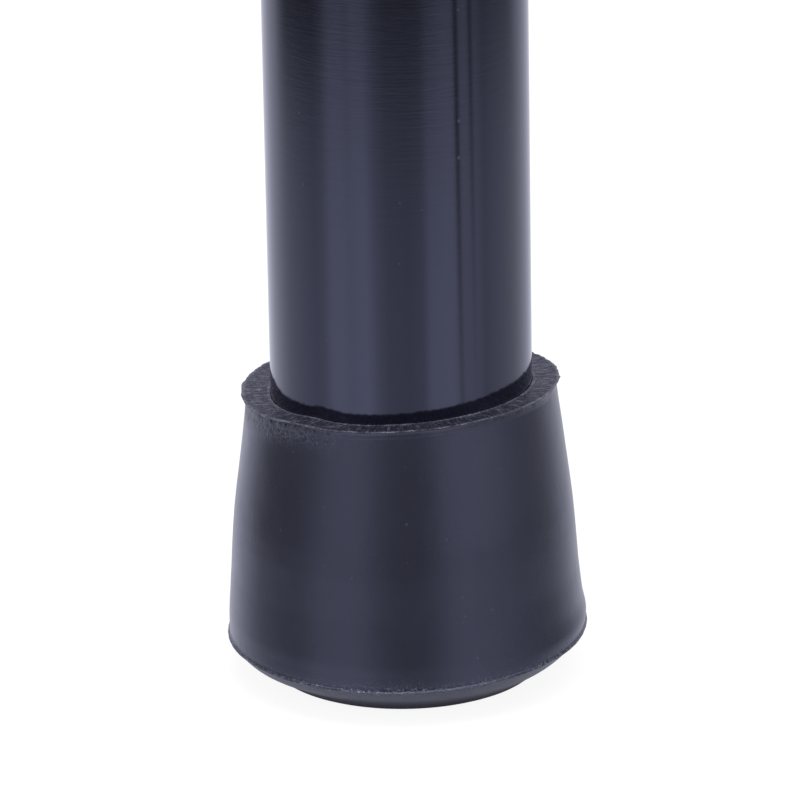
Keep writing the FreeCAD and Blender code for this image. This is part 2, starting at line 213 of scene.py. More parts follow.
def shade(mesh, sharp):
    """Smooth shading, with edges over sharp degrees kept sharp."""
    mesh.shade_smooth()
    if sharp:
        mesh.set_sharp_from_angle(angle=math.radians(sharp))


def put(name, points, faces, attributes=None, sharp=32, outward=True):
    """A smooth-shaded mesh object from points in mm."""
    mesh = bpy.data.meshes.new(name)
    mesh.from_pydata((np.asarray(points, float) / 1000.0).tolist(), [], faces)
    mesh.update()
    for key, values in (attributes or {}).items():
        values = np.asarray(values, np.float32)
        vector = values.ndim == 2
        made = mesh.attributes.new(key, "FLOAT_VECTOR" if vector else "FLOAT", "POINT")
        made.data.foreach_set("vector" if vector else "value", values.ravel())
    if outward:
        bm = bmesh.new()
        bm.from_mesh(mesh)
        bmesh.ops.recalc_face_normals(bm, faces=bm.faces)
        bm.to_mesh(mesh)
        bm.free()
    shade(mesh, sharp)
    return link(name, mesh)


def grid_faces(rows, cols, joined=False, start=0):
    """Quads between closed rings; joined also links the last ring to the first."""
    faces = []
    for row in range(rows if joined else rows - 1):
        here, above = start + row * cols, start + ((row + 1) % rows) * cols
        for col in range(cols):
            after = (col + 1) % cols
            faces.append((here + col, here + after, above + after, above + col))
    return faces


def fan(start, cols, centre):
    return [(start + col, start + (col + 1) % cols, centre) for col in range(cols)]


def shell(name, rings, attributes, capped=False, sharp=32):
    """A mesh from closed rings (rows, cols, 3). capped closes both ends with fans;
    otherwise the last ring joins the first."""
    rows, cols = rings.shape[:2]
    points = rings.reshape(-1, 3)
    faces = grid_faces(rows, cols, joined=not capped)
    values = {k: np.reshape(v, (rows * cols, -1)).squeeze() for k, v in attributes.items()}
    if capped:
        for row in (0, rows - 1):
            ring = slice(row * cols, (row + 1) * cols)
            faces += fan(ring.start, cols, len(points))
            points = np.vstack([points, points[ring].mean(0)])
            for key, v in values.items():
                values[key] = np.concatenate([v, v[ring].mean(0, keepdims=True)])
    return put(name, points, faces, values, sharp)


def lathe(name, profile, cols, centre, along_x=False):
    """Revolves a closed (radius, along) profile about Z, or about X."""
    radius, along = columns(profile)
    local = polar(radius, turn_angles(cols), along)
    rings = (local[..., ALONG_X] if along_x else local) + np.array(centre)
    return shell(name, rings, {"sweep": local})


def baked(piece, sharp=32):
    """Applies the object's modifiers."""
    bpy.context.view_layer.update()
    graph = bpy.context.evaluated_depsgraph_get()
    mesh = bpy.data.meshes.new_from_object(
        piece.evaluated_get(graph), preserve_all_data_layers=True, depsgraph=graph
    )
    piece.modifiers.clear()
    piece.data = mesh
    shade(mesh, sharp)
    return piece


def circle(centre, radius, across, around, cols):
    theta = turn_angles(cols)[:, None]
    return np.array(centre) + radius * (
        np.cos(theta) * np.array(across) + np.sin(theta) * np.array(around)
    )


def cutter(outline, travel):
    """A closed solid that carries an outline (n, 3) along travel."""
    n = len(outline)
    faces = grid_faces(2, n) + [tuple(range(n))[::-1], tuple(range(n, 2 * n))]
    return put("cutter", np.vstack([outline, outline + np.array(travel)]), faces, sharp=0)


def cut(piece, cutters):
    for tool in cutters:
        modifier = piece.modifiers.new("cut", "BOOLEAN")
        modifier.operation, modifier.solver, modifier.object = "DIFFERENCE", "EXACT", tool
    baked(piece)
    for tool in cutters:
        bpy.data.objects.remove(tool)
    return piece


def softened(node, name, voxel, steps):
    """A CAD node's solid with its edges eased, for cast and pressed pieces."""
    mesh = frame["nodes"][node].data.copy()
    mesh.materials.clear()
    bm = bmesh.new()
    bm.from_mesh(mesh)
    bmesh.ops.remove_doubles(bm, verts=bm.verts, dist=1e-6)
    bm.to_mesh(mesh)
    bm.free()
    piece = link(name, mesh)
    remesh = piece.modifiers.new("r", "REMESH")
    remesh.mode, remesh.voxel_size, remesh.adaptivity = "VOXEL", voxel / 1000.0, 0.0
    relax = piece.modifiers.new("s", "SMOOTH")
    relax.factor, relax.iterations = 0.5, steps
    return baked(piece, sharp=0)


# ------------------------------------------------------------------ shader nodes
class ShaderNodes:
    """Short ways to make shader nodes; every size in a material is in mm."""

    def __init__(self, tree):
        self.tree = tree
        tree.nodes.clear()

    def join(self, value, socket):
        """Links a socket, or sets a plain value."""
        if hasattr(value, "is_linked"):
            self.tree.links.new(value, socket)
        elif isinstance(value, tuple) and len(value) == 3 and socket.type == "RGBA":
            socket.default_value = (*value, 1.0)
        else:
            socket.default_value = value

    def node(self, kind, inputs=None, **settings):
        made = self.tree.nodes.new(kind)
        for key, value in settings.items():
            setattr(made, key, value)
        for key, value in (inputs or {}).items():
            self.join(value, made.inputs[key])
        return made

    def coords(self, attribute=None, scale=(1, 1, 1), offset=(0, 0, 0)):
        """The place in mm: the stored attribute, or the object's own frame."""
        if attribute:
            source = self.node("ShaderNodeAttribute", attribute_name=attribute).outputs["Vector"]
            unit = 1.0
        else:
            source = self.node("ShaderNodeTexCoord").outputs["Object"]
            unit = 1000.0
        scale = [unit * s for s in scale]
        inputs = {"Vector": source, "Scale": scale, "Location": offset}
        return self.node("ShaderNodeMapping", inputs).outputs[0]

    def painted(self, attribute):
        return self.node("ShaderNodeAttribute", attribute_name=attribute).outputs["Fac"]

    def axes(self, vector):
        return self.node("ShaderNodeSeparateXYZ", {0: vector}).outputs

    def channels(self, color):
        return self.node("ShaderNodeSeparateColor", {0: color}).outputs

    def noise(self, where, scale, detail=3.0, roughness=0.6):
        inputs = {"Vector": where, "Scale": scale, "Detail": detail, "Roughness": roughness}
        return self.node("ShaderNodeTexNoise", inputs).outputs["Fac"]

    def voronoi(self, where, scale, feature="F1"):
        inputs = {"Vector": where, "Scale": scale}
        return self.node("ShaderNodeTexVoronoi", inputs, feature=feature).outputs

    def math(self, operation, a, b=0.0, c=0.0, clamp=False):
        inputs = {0: a, 1: b, 2: c}
        made = self.node("ShaderNodeMath", inputs, operation=operation, use_clamp=clamp)
        return made.outputs[0]

    def times(self, a, b, clamp=False):
        return self.math("MULTIPLY", a, b, clamp=clamp)

    def greater(self, a, b):
        return self.math("MAXIMUM", a, b)

    def distance(self, x, y):
        return self.math("SQRT", self.math("ADD", self.times(x, x), self.times(y, y)))

    def total(self, base, *weighted):
        """base plus each (pattern, weight)."""
        for pattern, weight in weighted:
            base = self.math("MULTIPLY_ADD", pattern, weight, base)
        return base

    def strongest(self, first, *others):
        """The greatest of several (pattern, weight)."""
        value = self.times(*first)
        for other in others:
            value = self.greater(value, self.times(*other))
        return value

    def span(self, value, start, end, low=0.0, high=1.0, kind="SMOOTHSTEP"):
        """low up to start, high from end on."""
        inputs = {
            "Value": value, "From Min": start, "From Max": end, "To Min": low, "To Max": high,
        }
        return self.node("ShaderNodeMapRange", inputs, interpolation_type=kind).outputs["Result"]

    def mix(self, share, a, b):
        """Colour a where share is 0, b where it is 1."""
        inputs = {"Factor": share, 6: a, 7: b}
        return self.node("ShaderNodeMix", inputs, data_type="RGBA").outputs[2]

    def bumps(self, *layers):
        """A normal from (pattern, height in mm that 1 stands for, strength) layers."""
        inputs = {}
        for pattern, height, strength in layers:
            inputs.update({"Height": pattern, "Distance": height / 1000.0, "Strength": strength})
            inputs["Normal"] = self.node("ShaderNodeBump", inputs).outputs[0]
        return inputs["Normal"]

    def specks(self, where, scale, size, share):
        """Sparse dots: 1 inside a dot. share is how many of the cells have one."""
        cell = self.voronoi(where, scale)
        chance = self.channels(cell["Color"])
        present = self.math("LESS_THAN", chance[0], share)
        dot_size = self.math("MULTIPLY_ADD", chance[1], size * 0.8, size * 0.35)
        dot = self.span(self.math("DIVIDE", cell["Distance"], dot_size), 1.0, 0.55)
        return self.times(present, dot)

    def ramp(self, value, stops):
        """A grey level that follows (value, level) stops."""
        low, high = stops[0][0], stops[-1][0]
        made = self.node("ShaderNodeValToRGB", {0: self.span(value, low, high, kind="LINEAR")})
        elements = made.color_ramp.elements
        while len(elements) > 1:
            elements.remove(elements[-1])
        elements[0].position = 0.0
        elements[0].color = (stops[0][1],) * 3 + (1.0,)
        for at, level in stops[1:]:
            elements.new((at - low) / (high - low)).color = (level, level, level, 1.0)
        made.color_ramp.interpolation = "LINEAR"
        return made.outputs["Color"]

    def choose(self, share, a, b):
        """Shader a where share is 0, b where it is 1."""
        return self.node("ShaderNodeMixShader", {0: share, 1: a, 2: b}).outputs[0]


class Material(ShaderNodes):
    """A material with one principled shader."""

    def __init__(self, name, **sockets):
        self.material = bpy.data.materials.new(name)
        self.material.use_nodes = True
        super().__init__(self.material.node_tree)
        self.output = self.node("ShaderNodeOutputMaterial")
        self.shader = self.node("ShaderNodeBsdfPrincipled")
        self.join(self.shader.outputs[0], self.output.inputs[0])
        self.put(**sockets)

    def put(self, **sockets):
        for key, value in sockets.items():
            self.join(value, self.shader.inputs[key])

    def surface(self, color, roughness, normal):
        self.put(**{"Base Color": color, "Roughness": roughness, "Normal": normal})
        return self.material


def scaled(color, factor):
    return tuple(factor * x for x in color)


# ------------------------------------------------------------------ materials
def tube_material():
    """Glossy black paint over a drawn tube."""
    sockets = {"IOR": 1.6, "Specular IOR Level": 0.95, "Specular Tint": (0.56, 0.61, 1.0)}
    m = Material("black_tube_paint", **sockets)
    place = m.coords("sweep")
    # fine and broad lines round the tube
    lines = m.noise(m.coords("sweep", scale=(0.32, 0.32, 3.6)), 1.0)
    broad_at = m.coords("sweep", scale=(0.05, 0.05, 1.6), offset=(3, 5, 7))
    broad_lines = m.noise(broad_at, 1.0, detail=2.0, roughness=0.5)
    peel = m.noise(place, 0.55, detail=2.0, roughness=0.5)
    wave_at = m.coords("sweep", scale=(0.10, 0.10, 0.022))
    wave = m.noise(wave_at, 1.0, detail=1.0, roughness=0.4)
    smear_at = m.coords("sweep", scale=(0.05, 0.05, 0.02), offset=(2, 9, 4))
    smear = m.noise(smear_at, 1.0, detail=4.0)
    coarse_dust = m.specks(place, scale=0.42, size=0.10, share=0.30)
    fine_dust = m.specks(m.coords("sweep", offset=(11, 3, 5)), scale=1.5, size=0.12, share=0.16)
    dust = m.strongest((coarse_dust, 0.55), (fine_dust, 0.22))
    paint = m.mix(smear, (0.0030, 0.0030, 0.0040), (0.0050, 0.0051, 0.0068))
    return m.surface(
        color=m.mix(m.times(dust, 0.45), paint, (0.11, 0.12, 0.16)),
        roughness=m.total(0.078, (lines, 0.03), (smear, 0.03), (dust, 0.2)),
        normal=m.bumps(
            (wave, 0.04, 0.5), (peel, 0.004, 0.5), (lines, 0.0023, 0.8), (broad_lines, 0.0022, 0.5)
        ),
    )


def rubber_material():
    """Black foot rubber. The feet carry the masks: cut (trimmed faces), worn (edges rubbed
    pale), scuff (rough handling) and shade (a painted shade line below the rim, where reflections
    are held back)."""
    m = Material("foot_rubber", IOR=1.6)
    place = m.coords("sweep")
    trimmed = m.painted("cut")
    grime = m.noise(place, 0.09, detail=4.0)
    grain = m.noise(place, 1.6, detail=4.0, roughness=0.62)
    fine = m.noise(m.coords("sweep", offset=(4, 8, 1)), 5.0, detail=2.0, roughness=0.55)
    coarse_dust = m.specks(place, scale=0.60, size=0.12, share=0.28)
    fine_dust = m.specks(m.coords("sweep", offset=(7, 2, 9)), scale=2.2, size=0.14, share=0.25)
    dust = m.strongest((coarse_dust, 0.5), (fine_dust, 0.3))
    base = m.mix(grime, (0.0048, 0.0049, 0.0060), (0.0085, 0.0087, 0.0105))
    base = m.mix(trimmed, base, (0.0085, 0.0090, 0.0135))
    tint = m.mix(m.span(trimmed, 0.85, 1.0), (0.575, 0.605, 1.0), (0.465, 0.465, 0.895))

    # chips and torn patches where the edges have rubbed
    rubbed = m.times(m.painted("worn"), m.span(fine, 0.40, 0.60, low=0.15), clamp=True)
    chips = m.specks(m.coords("sweep", offset=(3, 6, 2)), scale=1.9, size=0.30, share=0.75)
    torn = m.span(m.noise(m.coords("sweep", offset=(9, 1, 4)), 3.4), 0.50, 0.62)
    damage = m.greater(chips, m.times(torn, 0.65))
    scuffs = m.times(m.painted("scuff"), damage, clamp=True)

    # trimmed faces: radial hair lines with crumbs on them, more of both left and right
    axis = m.axes(place)
    turn = m.math("ARCTAN2", axis[0], m.times(axis[1], -1.0))
    rim_radius, lines_per_mm = 19.0, 3.4
    unrolled = m.node("ShaderNodeCombineXYZ", {
        0: m.times(turn, rim_radius * lines_per_mm),
        1: m.times(m.distance(axis[0], axis[1]), 0.55),
    })
    hair = m.noise(unrolled.outputs[0], 1.0, roughness=0.62)
    sides = m.total(
        0.49, (m.math("ABSOLUTE", m.math("SINE", turn)), 0.72), (m.math("SINE", turn), -0.12)
    )
    big_crumbs = m.specks(place, scale=1.7, size=0.20, share=0.40)
    small_crumbs = m.specks(m.coords("sweep", offset=(5, 5, 8)), scale=3.4, size=0.34, share=0.50)
    crumbs = m.greater(big_crumbs, m.times(small_crumbs, 0.7))
    crumbs = m.times(m.times(crumbs, trimmed), sides)
    patchy = m.span(m.noise(place, 1.1), 0.35, 0.65, low=0.15)
    hairs = m.times(m.span(hair, 0.50, 0.62), m.times(m.times(trimmed, sides), patchy))

    light = m.strongest((crumbs, 1.0), (hairs, 0.60), (dust, 0.40), (scuffs, 0.76))
    color = m.mix(light, base, (0.115, 0.118, 0.155))
    pale = m.greater(m.times(rubbed, 0.85), m.strongest((crumbs, 0.50), (hairs, 0.42)))
    pale = m.greater(pale, m.times(m.math("POWER", scuffs, 2.0), 0.62))

    # reflections are held back in a painted shade line below the rim and in torn pits of the
    # trimmed faces
    painted_shade_line = m.times(
        m.painted("shade"), m.span(m.noise(place, 1.3, roughness=0.65), 0.36, 0.56, low=0.25)
    )
    pits = m.noise(m.coords("sweep", offset=(1, 3, 7)), 3.0, roughness=0.65)
    pits = m.times(m.span(pits, 0.50, 0.62), m.times(trimmed, 0.75))
    shine = m.times(m.math("SUBTRACT", 1.0, m.greater(painted_shade_line, pits)), 0.95)
    m.put(**{"Specular Tint": tint, "Specular IOR Level": shine})
    return m.surface(
        color=m.mix(pale, color, (0.24, 0.245, 0.31)),
        roughness=m.total(0.20, (grime, 0.12), (grain, 0.06), (trimmed, 0.28), (dust, 0.25)),
        normal=m.bumps(
            (m.noise(place, 0.35, detail=2.0, roughness=0.5), 0.03, 0.4),
            (grain, 0.014, 0.35),
            (fine, 0.006, 0.3),
            (m.times(hair, trimmed), 0.16, 1.0),
            (m.times(m.noise(place, 2.4), trimmed), 0.10, 0.9),
            (dust, 0.03, 0.5),
            (scuffs, 0.06, 0.6),
        ),
    )


def zinc_material(name, tone, roughness):
    """Zinc plate: clouded, with a faint spangle, dull patches and pits."""
    m = Material(name, Metallic=1.0)
    place = m.coords()
    cloud = m.noise(place, 0.10, detail=4.0)
    grain = m.noise(place, 1.4, detail=4.0)
    spangle = m.channels(m.voronoi(place, 0.55)["Color"])[0]
    pits = m.specks(place, scale=0.6, size=0.22, share=0.35)
    color = m.mix(cloud, scaled(tone, 0.86), scaled(tone, 1.12))
    color = m.mix(m.times(spangle, 0.10), color, (0.62, 0.63, 0.64))
    color = m.mix(m.span(cloud, 0.52, 0.72, high=0.25), color, (0.42, 0.40, 0.35))
    return m.surface(
        color=m.mix(m.times(pits, 0.55), color, (0.12, 0.115, 0.11)),
        roughness=m.total(roughness - 0.05, (cloud, 0.14), (grain, 0.12)),
        normal=m.bumps(
            (grain, 0.02, 0.4),
            (m.noise(place, 0.25, detail=2.0, roughness=0.5), 0.05, 0.4),
            (pits, -0.03, 0.6),
        ),
    )


def plastic_material(name, dark, light, roughness, grain_size, grain_height):
    """Grained moulded plastic, with rub marks and dust."""
    m = Material(name, IOR=1.5)
    place = m.coords()
    cloud = m.noise(place, 0.06, detail=4.0)
    grain = m.voronoi(place, 1.0 / grain_size, feature="SMOOTH_F1")["Distance"]
    fine_grain = m.noise(place, 1.4 / grain_size)
    rub_at = m.coords(scale=(0.35, 0.35, 0.05), offset=(6, 1, 2))
    rubs = m.span(m.noise(rub_at, 1.0, detail=5.0, roughness=0.65), 0.60, 0.74)
    dust = m.specks(place, scale=0.6, size=0.15, share=0.3)
    color = m.mix(cloud, dark, light)
    color = m.mix(m.times(rubs, 0.35), color, scaled(light, 2.4))
    return m.surface(
        color=m.mix(m.times(dust, 0.4), color, (0.20, 0.20, 0.21)),
        roughness=m.total(roughness - 0.06, (cloud, 0.12), (rubs, -0.10)),
        normal=m.bumps((grain, grain_height, 0.6), (fine_grain, grain_height * 0.6, 0.5)),
    )


BY_SLOT = {
    "black_tube": tube_material(),
    "foot_rubber": rubber_material(),
    "zinc_steel": zinc_material("zinc_plate", tone=(0.44, 0.45, 0.46), roughness=0.30),
}
ZINC = BY_SLOT["zinc_steel"]
ZINC_CAST = zinc_material("zinc_cast", tone=(0.36, 0.37, 0.38), roughness=0.40)
PLASTICS = (   # slot, name, dark colour, light colour, roughness, grain size and height in mm
    ("guide_plastic", "guide_plastic",
     (0.010, 0.010, 0.011), (0.020, 0.020, 0.022), 0.42, 0.5, 0.012),
    ("knob_plastic", "knob_plastic",
     (0.012, 0.012, 0.013), (0.022, 0.022, 0.024), 0.50, 0.8, 0.035),
    ("block_plastic", "block_plastic",
     (0.016, 0.016, 0.018), (0.028, 0.028, 0.031), 0.46, 0.6, 0.02),
    ("sleeve_vinyl", "sleeve_vinyl",
     (0.008, 0.008, 0.009), (0.014, 0.014, 0.016), 0.26, 1.1, 0.008),
    ("liner_rubber", "liner_rubber",
     (0.010, 0.010, 0.010), (0.020, 0.020, 0.020), 0.62, 0.4, 0.02),
)
for plastic_slot, *settings in PLASTICS:
    BY_SLOT[plastic_slot] = plastic_material(*settings)
SLOT_OF = {part["node"]: part["material_slot"] for part in frame["record"]["subparts"]}

# every CAD node starts with its slot's material
for cad_node, cad_object in frame["nodes"].items():
    cad_object.data.materials.clear()
    cad_object.data.materials.append(BY_SLOT[SLOT_OF[cad_node]])


# ------------------------------------------------------------------ handing pieces over
def finish_piece(piece, body, node, slot=None, material=None):
    """Gives a piece its material and its moving body, and hides the CAD node it stands in for."""
    slot = slot or SLOT_OF[node]
    piece.data.materials.clear()
    piece.data.materials.append(material or BY_SLOT[slot])
    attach(piece, body)
    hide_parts(node)


def left_copy(right, moved=False):
    """The left-hand copy: moved along X, or turned half a turn about Z."""
    mesh = right.data.copy()
    places = np.zeros(len(mesh.vertices) * 3)
    mesh.vertices.foreach_get("co", places)
    places = places.reshape(-1, 3)
    if moved:
        places = places + np.array([-2 * CLAMP_X, 0, 0]) / 1000.0
    else:
        places = places * [-1, -1, 1]
    mesh.vertices.foreach_set("co", places.ravel())
    mesh.update()
    return link(right.name.replace("right_", "left_"), mesh)


def finish_pair(right, body, node, slot=None, moved=False, material=None):
    """Copies a right-hand piece to the left and finishes both."""
    left = left_copy(right, moved)
    finish_piece(right, body, node, slot, material)
    body, node = body.replace("right_", "left_"), node.replace("right_", "left_")
    finish_piece(left, body, node, slot, material)


# ------------------------------------------------------------------ arm tubes
def arm_line():
    """The right arm's centre line from inside the crossbar to the foot: points, tangents and
    arc length."""
    bend_x, bend_z = LEG_X - BEND_R, H - BEND_R
    level_x = np.arange(ARM_X0, bend_x, 5.0)
    angle = np.linspace(0, math.pi / 2, 73)
    drop_z = np.linspace(bend_z, ARM_Z0, int((bend_z - ARM_Z0) / 2.5) + 1)[1:]
    level, drop = np.ones(len(level_x)), np.ones(len(drop_z))
    x = np.concatenate([level_x, bend_x + BEND_R * np.sin(angle), LEG_X * drop])
    z = np.concatenate([H * level, bend_z + BEND_R * np.cos(angle), drop_z])
    along_x = np.concatenate([level, np.cos(angle), 0 * drop])
    along_z = np.concatenate([0 * level, -np.sin(angle), -drop])
    bend_s = bend_x - ARM_X0
    drop_s = bend_s + BEND_R * math.pi / 2 + bend_z - drop_z
    length = np.concatenate([level_x - ARM_X0, bend_s + BEND_R * angle, drop_s])
    return np.stack([x, 0 * x, z], -1), np.stack([along_x, 0 * x, along_z], -1), length


def arm_tube(name):
    path, tangent, along = arm_line()
    theta = turn_angles(192, 0.5)          # half a step round, so no edge meets a hole's corner
    bend_start = LEG_X - BEND_R - ARM_X0
    bend_end = bend_start + BEND_R * math.pi / 2
    squeeze = smooth(bend_start - 4, bend_start + 22, along)
    squeeze = squeeze * (1 - smooth(bend_end - 22, bend_end + 4, along))
    # the bend is flattened most on its inner side, where the cosine is positive
    inner_side, outer_side = np.clip(np.cos(theta), 0, 1), np.clip(-np.cos(theta), 0, 1)
    flat = 0.34 * inner_side**2 + 0.10 * outer_side**2

    def rings(radius, rows):
        reach = radius - squeeze[rows, None] * flat
        side = np.array([0.0, 1.0, 0.0])
        placed = rings_on(path[rows], tangent[rows], side, reach, theta)
        return placed, polar(radius, theta, along[rows, None])

    ease = 0.25                            # both outer ends are eased by this
    outer, outer_sweep = rings(ARM_R, slice(None))
    outer[0, :, 0] += ease
    outer[-1, :, 2] += ease
    first, first_sweep = rings(ARM_R - ease, slice(0, 1))
    last, last_sweep = rings(ARM_R - ease, slice(-1, None))
    inner, inner_sweep = rings(ARM_IN, slice(None, None, -1))
    sweep = np.concatenate([first_sweep, outer_sweep, last_sweep, inner_sweep])
    tube = shell(name, np.concatenate([first, outer, last, inner]), {"sweep": sweep})
    hole = circle((KNOB_X, 0, H - ARM_R - 3), HOLE_R, across=(-1, 0, 0), around=(0, -1, 0), cols=48)
    return cut(tube, [cutter(hole, travel=(0, 0, 8))])


def shift_sweep(piece, distance):
    """Moves the stored texture place along the tube, so the two arms differ."""
    data = piece.data.attributes["sweep"].data
    values = np.zeros(len(data) * 3, np.float32)
    data.foreach_get("vector", values)
    values = values.reshape(-1, 3) + np.array([0, 0, distance], np.float32)
    data.foreach_set("vector", values.ravel())


right_arm = arm_tube("right_arm_tube_drawn")
left_arm = left_copy(right_arm)
shift_sweep(left_arm, 731.0)
finish_piece(right_arm, "right_arm", "right_arm_tube", "black_tube")
finish_piece(left_arm, "left_arm", "left_arm_tube", "black_tube")


# ------------------------------------------------------------------ crossbar
def slot_cutter(centre_x):
    """A slot in the crossbar's underside, along X with round ends."""
    half = 60.4                            # from the middle to an end's centre
    angle = np.linspace(-math.pi / 2, math.pi / 2, 17)
    reach = half + HOLE_R * np.cos(angle)
    across = HOLE_R * np.sin(angle)
    low, high = H - BAR_R - 3, H - 10
    x = centre_x + np.concatenate([reach, -reach[::-1]])
    y = np.concatenate([across, across[::-1]])
    return cutter(np.stack([x, y, np.full(len(x), low)], -1), travel=(0, 0, high - low))


def crossbar(name):
    left, right = BAR_LO[0], BAR_HI[0]
    ease = 0.3                             # both outer ends are eased by this
    outer_x = [left + ease, *np.linspace(left + 4, right - 4, 150), right - ease]
    profile = [(BAR_R - ease, left)]
    profile += [(BAR_R, x) for x in outer_x]
    profile += [(BAR_R - ease, right)]
    profile += [(BAR_IN, x) for x in np.linspace(right, left, 60)]
    radius, x = columns(profile)
    local = polar(radius, turn_angles(160, 0.5), x)
    sweep = local + np.array([0, 0, 2100.0])
    bar = shell(name, local[..., ALONG_X] + np.array([0, 0, H]), {"sweep": sweep})
    cutters = []
    for side in ("left", "right"):
        cutters.append(slot_cutter(KNOB_X if side == "right" else -KNOB_X))
        rivet_x = float(middle(side + "_bushing_rivets")[0])
        start = (rivet_x, -BAR_R - 3, H)
        hole = circle(start, 1.66, across=(1, 0, 0), around=(0, 0, -1), cols=24)
        cutters.append(cutter(hole, travel=(0, 2 * BAR_R + 6, 0)))
    return cut(bar, cutters)


finish_piece(crossbar("crossbar_tube_drawn"), "crossbar", "crossbar_tube", "black_tube")


# ------------------------------------------------------------------ rubber feet
FOOT_BORE = ARM_R + 0.02
FOOT_FLOOR = 8.0         # inside floor
FOOT_TOP = 36.16         # trimmed rim
CHAMFER_LOW = (17.22, 0.94)
CHAMFER_HIGH = (21.74, 4.58)
FLASH_Z = 4.96           # the thin ridge at the widest place
FOOT_WALL = (            # z before fitting to the flash, radius: from the flash up to the rim
    (5.5, 21.97), (6.3, 21.93), (7.46, 21.89), (10.0, 21.66), (12.78, 21.41), (15.4, 21.23),
    (18.04, 21.05), (20.67, 20.81), (23.29, 20.48), (25.9, 20.13), (28.5, 19.79), (31.1, 19.45),
    (33.05, 19.20), (34.6, 19.02),
)


def foot_profile():
    """(radius, z) from the middle of the base round to the inside floor, and the name of the
    stretch each point is on."""
    groove_corners = [
        (0.4, 0), (4.2, 0), (4.9, 0.9), (6.7, 0.9), (7.4, 0),
        (9.6, 0), (10.3, 0.9), (12.1, 0.9), (12.8, 0), (15.2, 0),
    ]
    wall_z, wall_radius = np.array(FOOT_WALL).T
    wall_z = FLASH_Z + (wall_z - 4.57) * 1.006
    side_z = np.concatenate([np.linspace(5.9, 33.6, 47), np.linspace(33.9, 35.45, 12)])
    top, bore, floor = FOOT_TOP, FOOT_BORE, FOOT_FLOOR
    stretches = {
        "base": rounded(groove_corners, 0.35, steps=3, closed=False),
        "chamfer": [
            (15.75, 0.03), (16.2, 0.13), (16.6, 0.32), (16.93, 0.60), CHAMFER_LOW,
            *np.linspace(CHAMFER_LOW, CHAMFER_HIGH, 12)[1:],
        ],
        "flash": [
            (21.86, 4.72), (21.95, 4.80), (22.04, 4.86), (22.11, 4.92), (22.12, 4.98),
            (22.07, 5.05), (22.00, 5.12), (21.97, 5.24), (21.97, 5.5),
        ],
        "side": np.stack([np.interp(side_z, wall_z, wall_radius), side_z], -1),
        "edge": [
            (18.96, top - 0.47), (18.95, top - 0.3), (18.98, top - 0.16), (19.02, top - 0.08),
            (19.03, top - 0.02), (18.97, top + 0.03), (18.86, top + 0.05),
        ],
        "rim": [(radius, top) for radius in np.linspace(18.70, bore + 0.12, 15)],
        "inner": [(bore + 0.05, top - 0.005), (bore + 0.015, top - 0.04), (bore, top - 0.12)],
        "bore": [(bore, z) for z in (35.2, 33.0, 28.0, 20.0, 12.0, floor + 0.4)],
        "floor": [(bore - 0.4, floor), (10.0, floor), (0.4, floor)],
    }
    names = np.repeat(list(stretches), [len(points) for points in stretches.values()])
    return np.vstack(list(stretches.values())), names


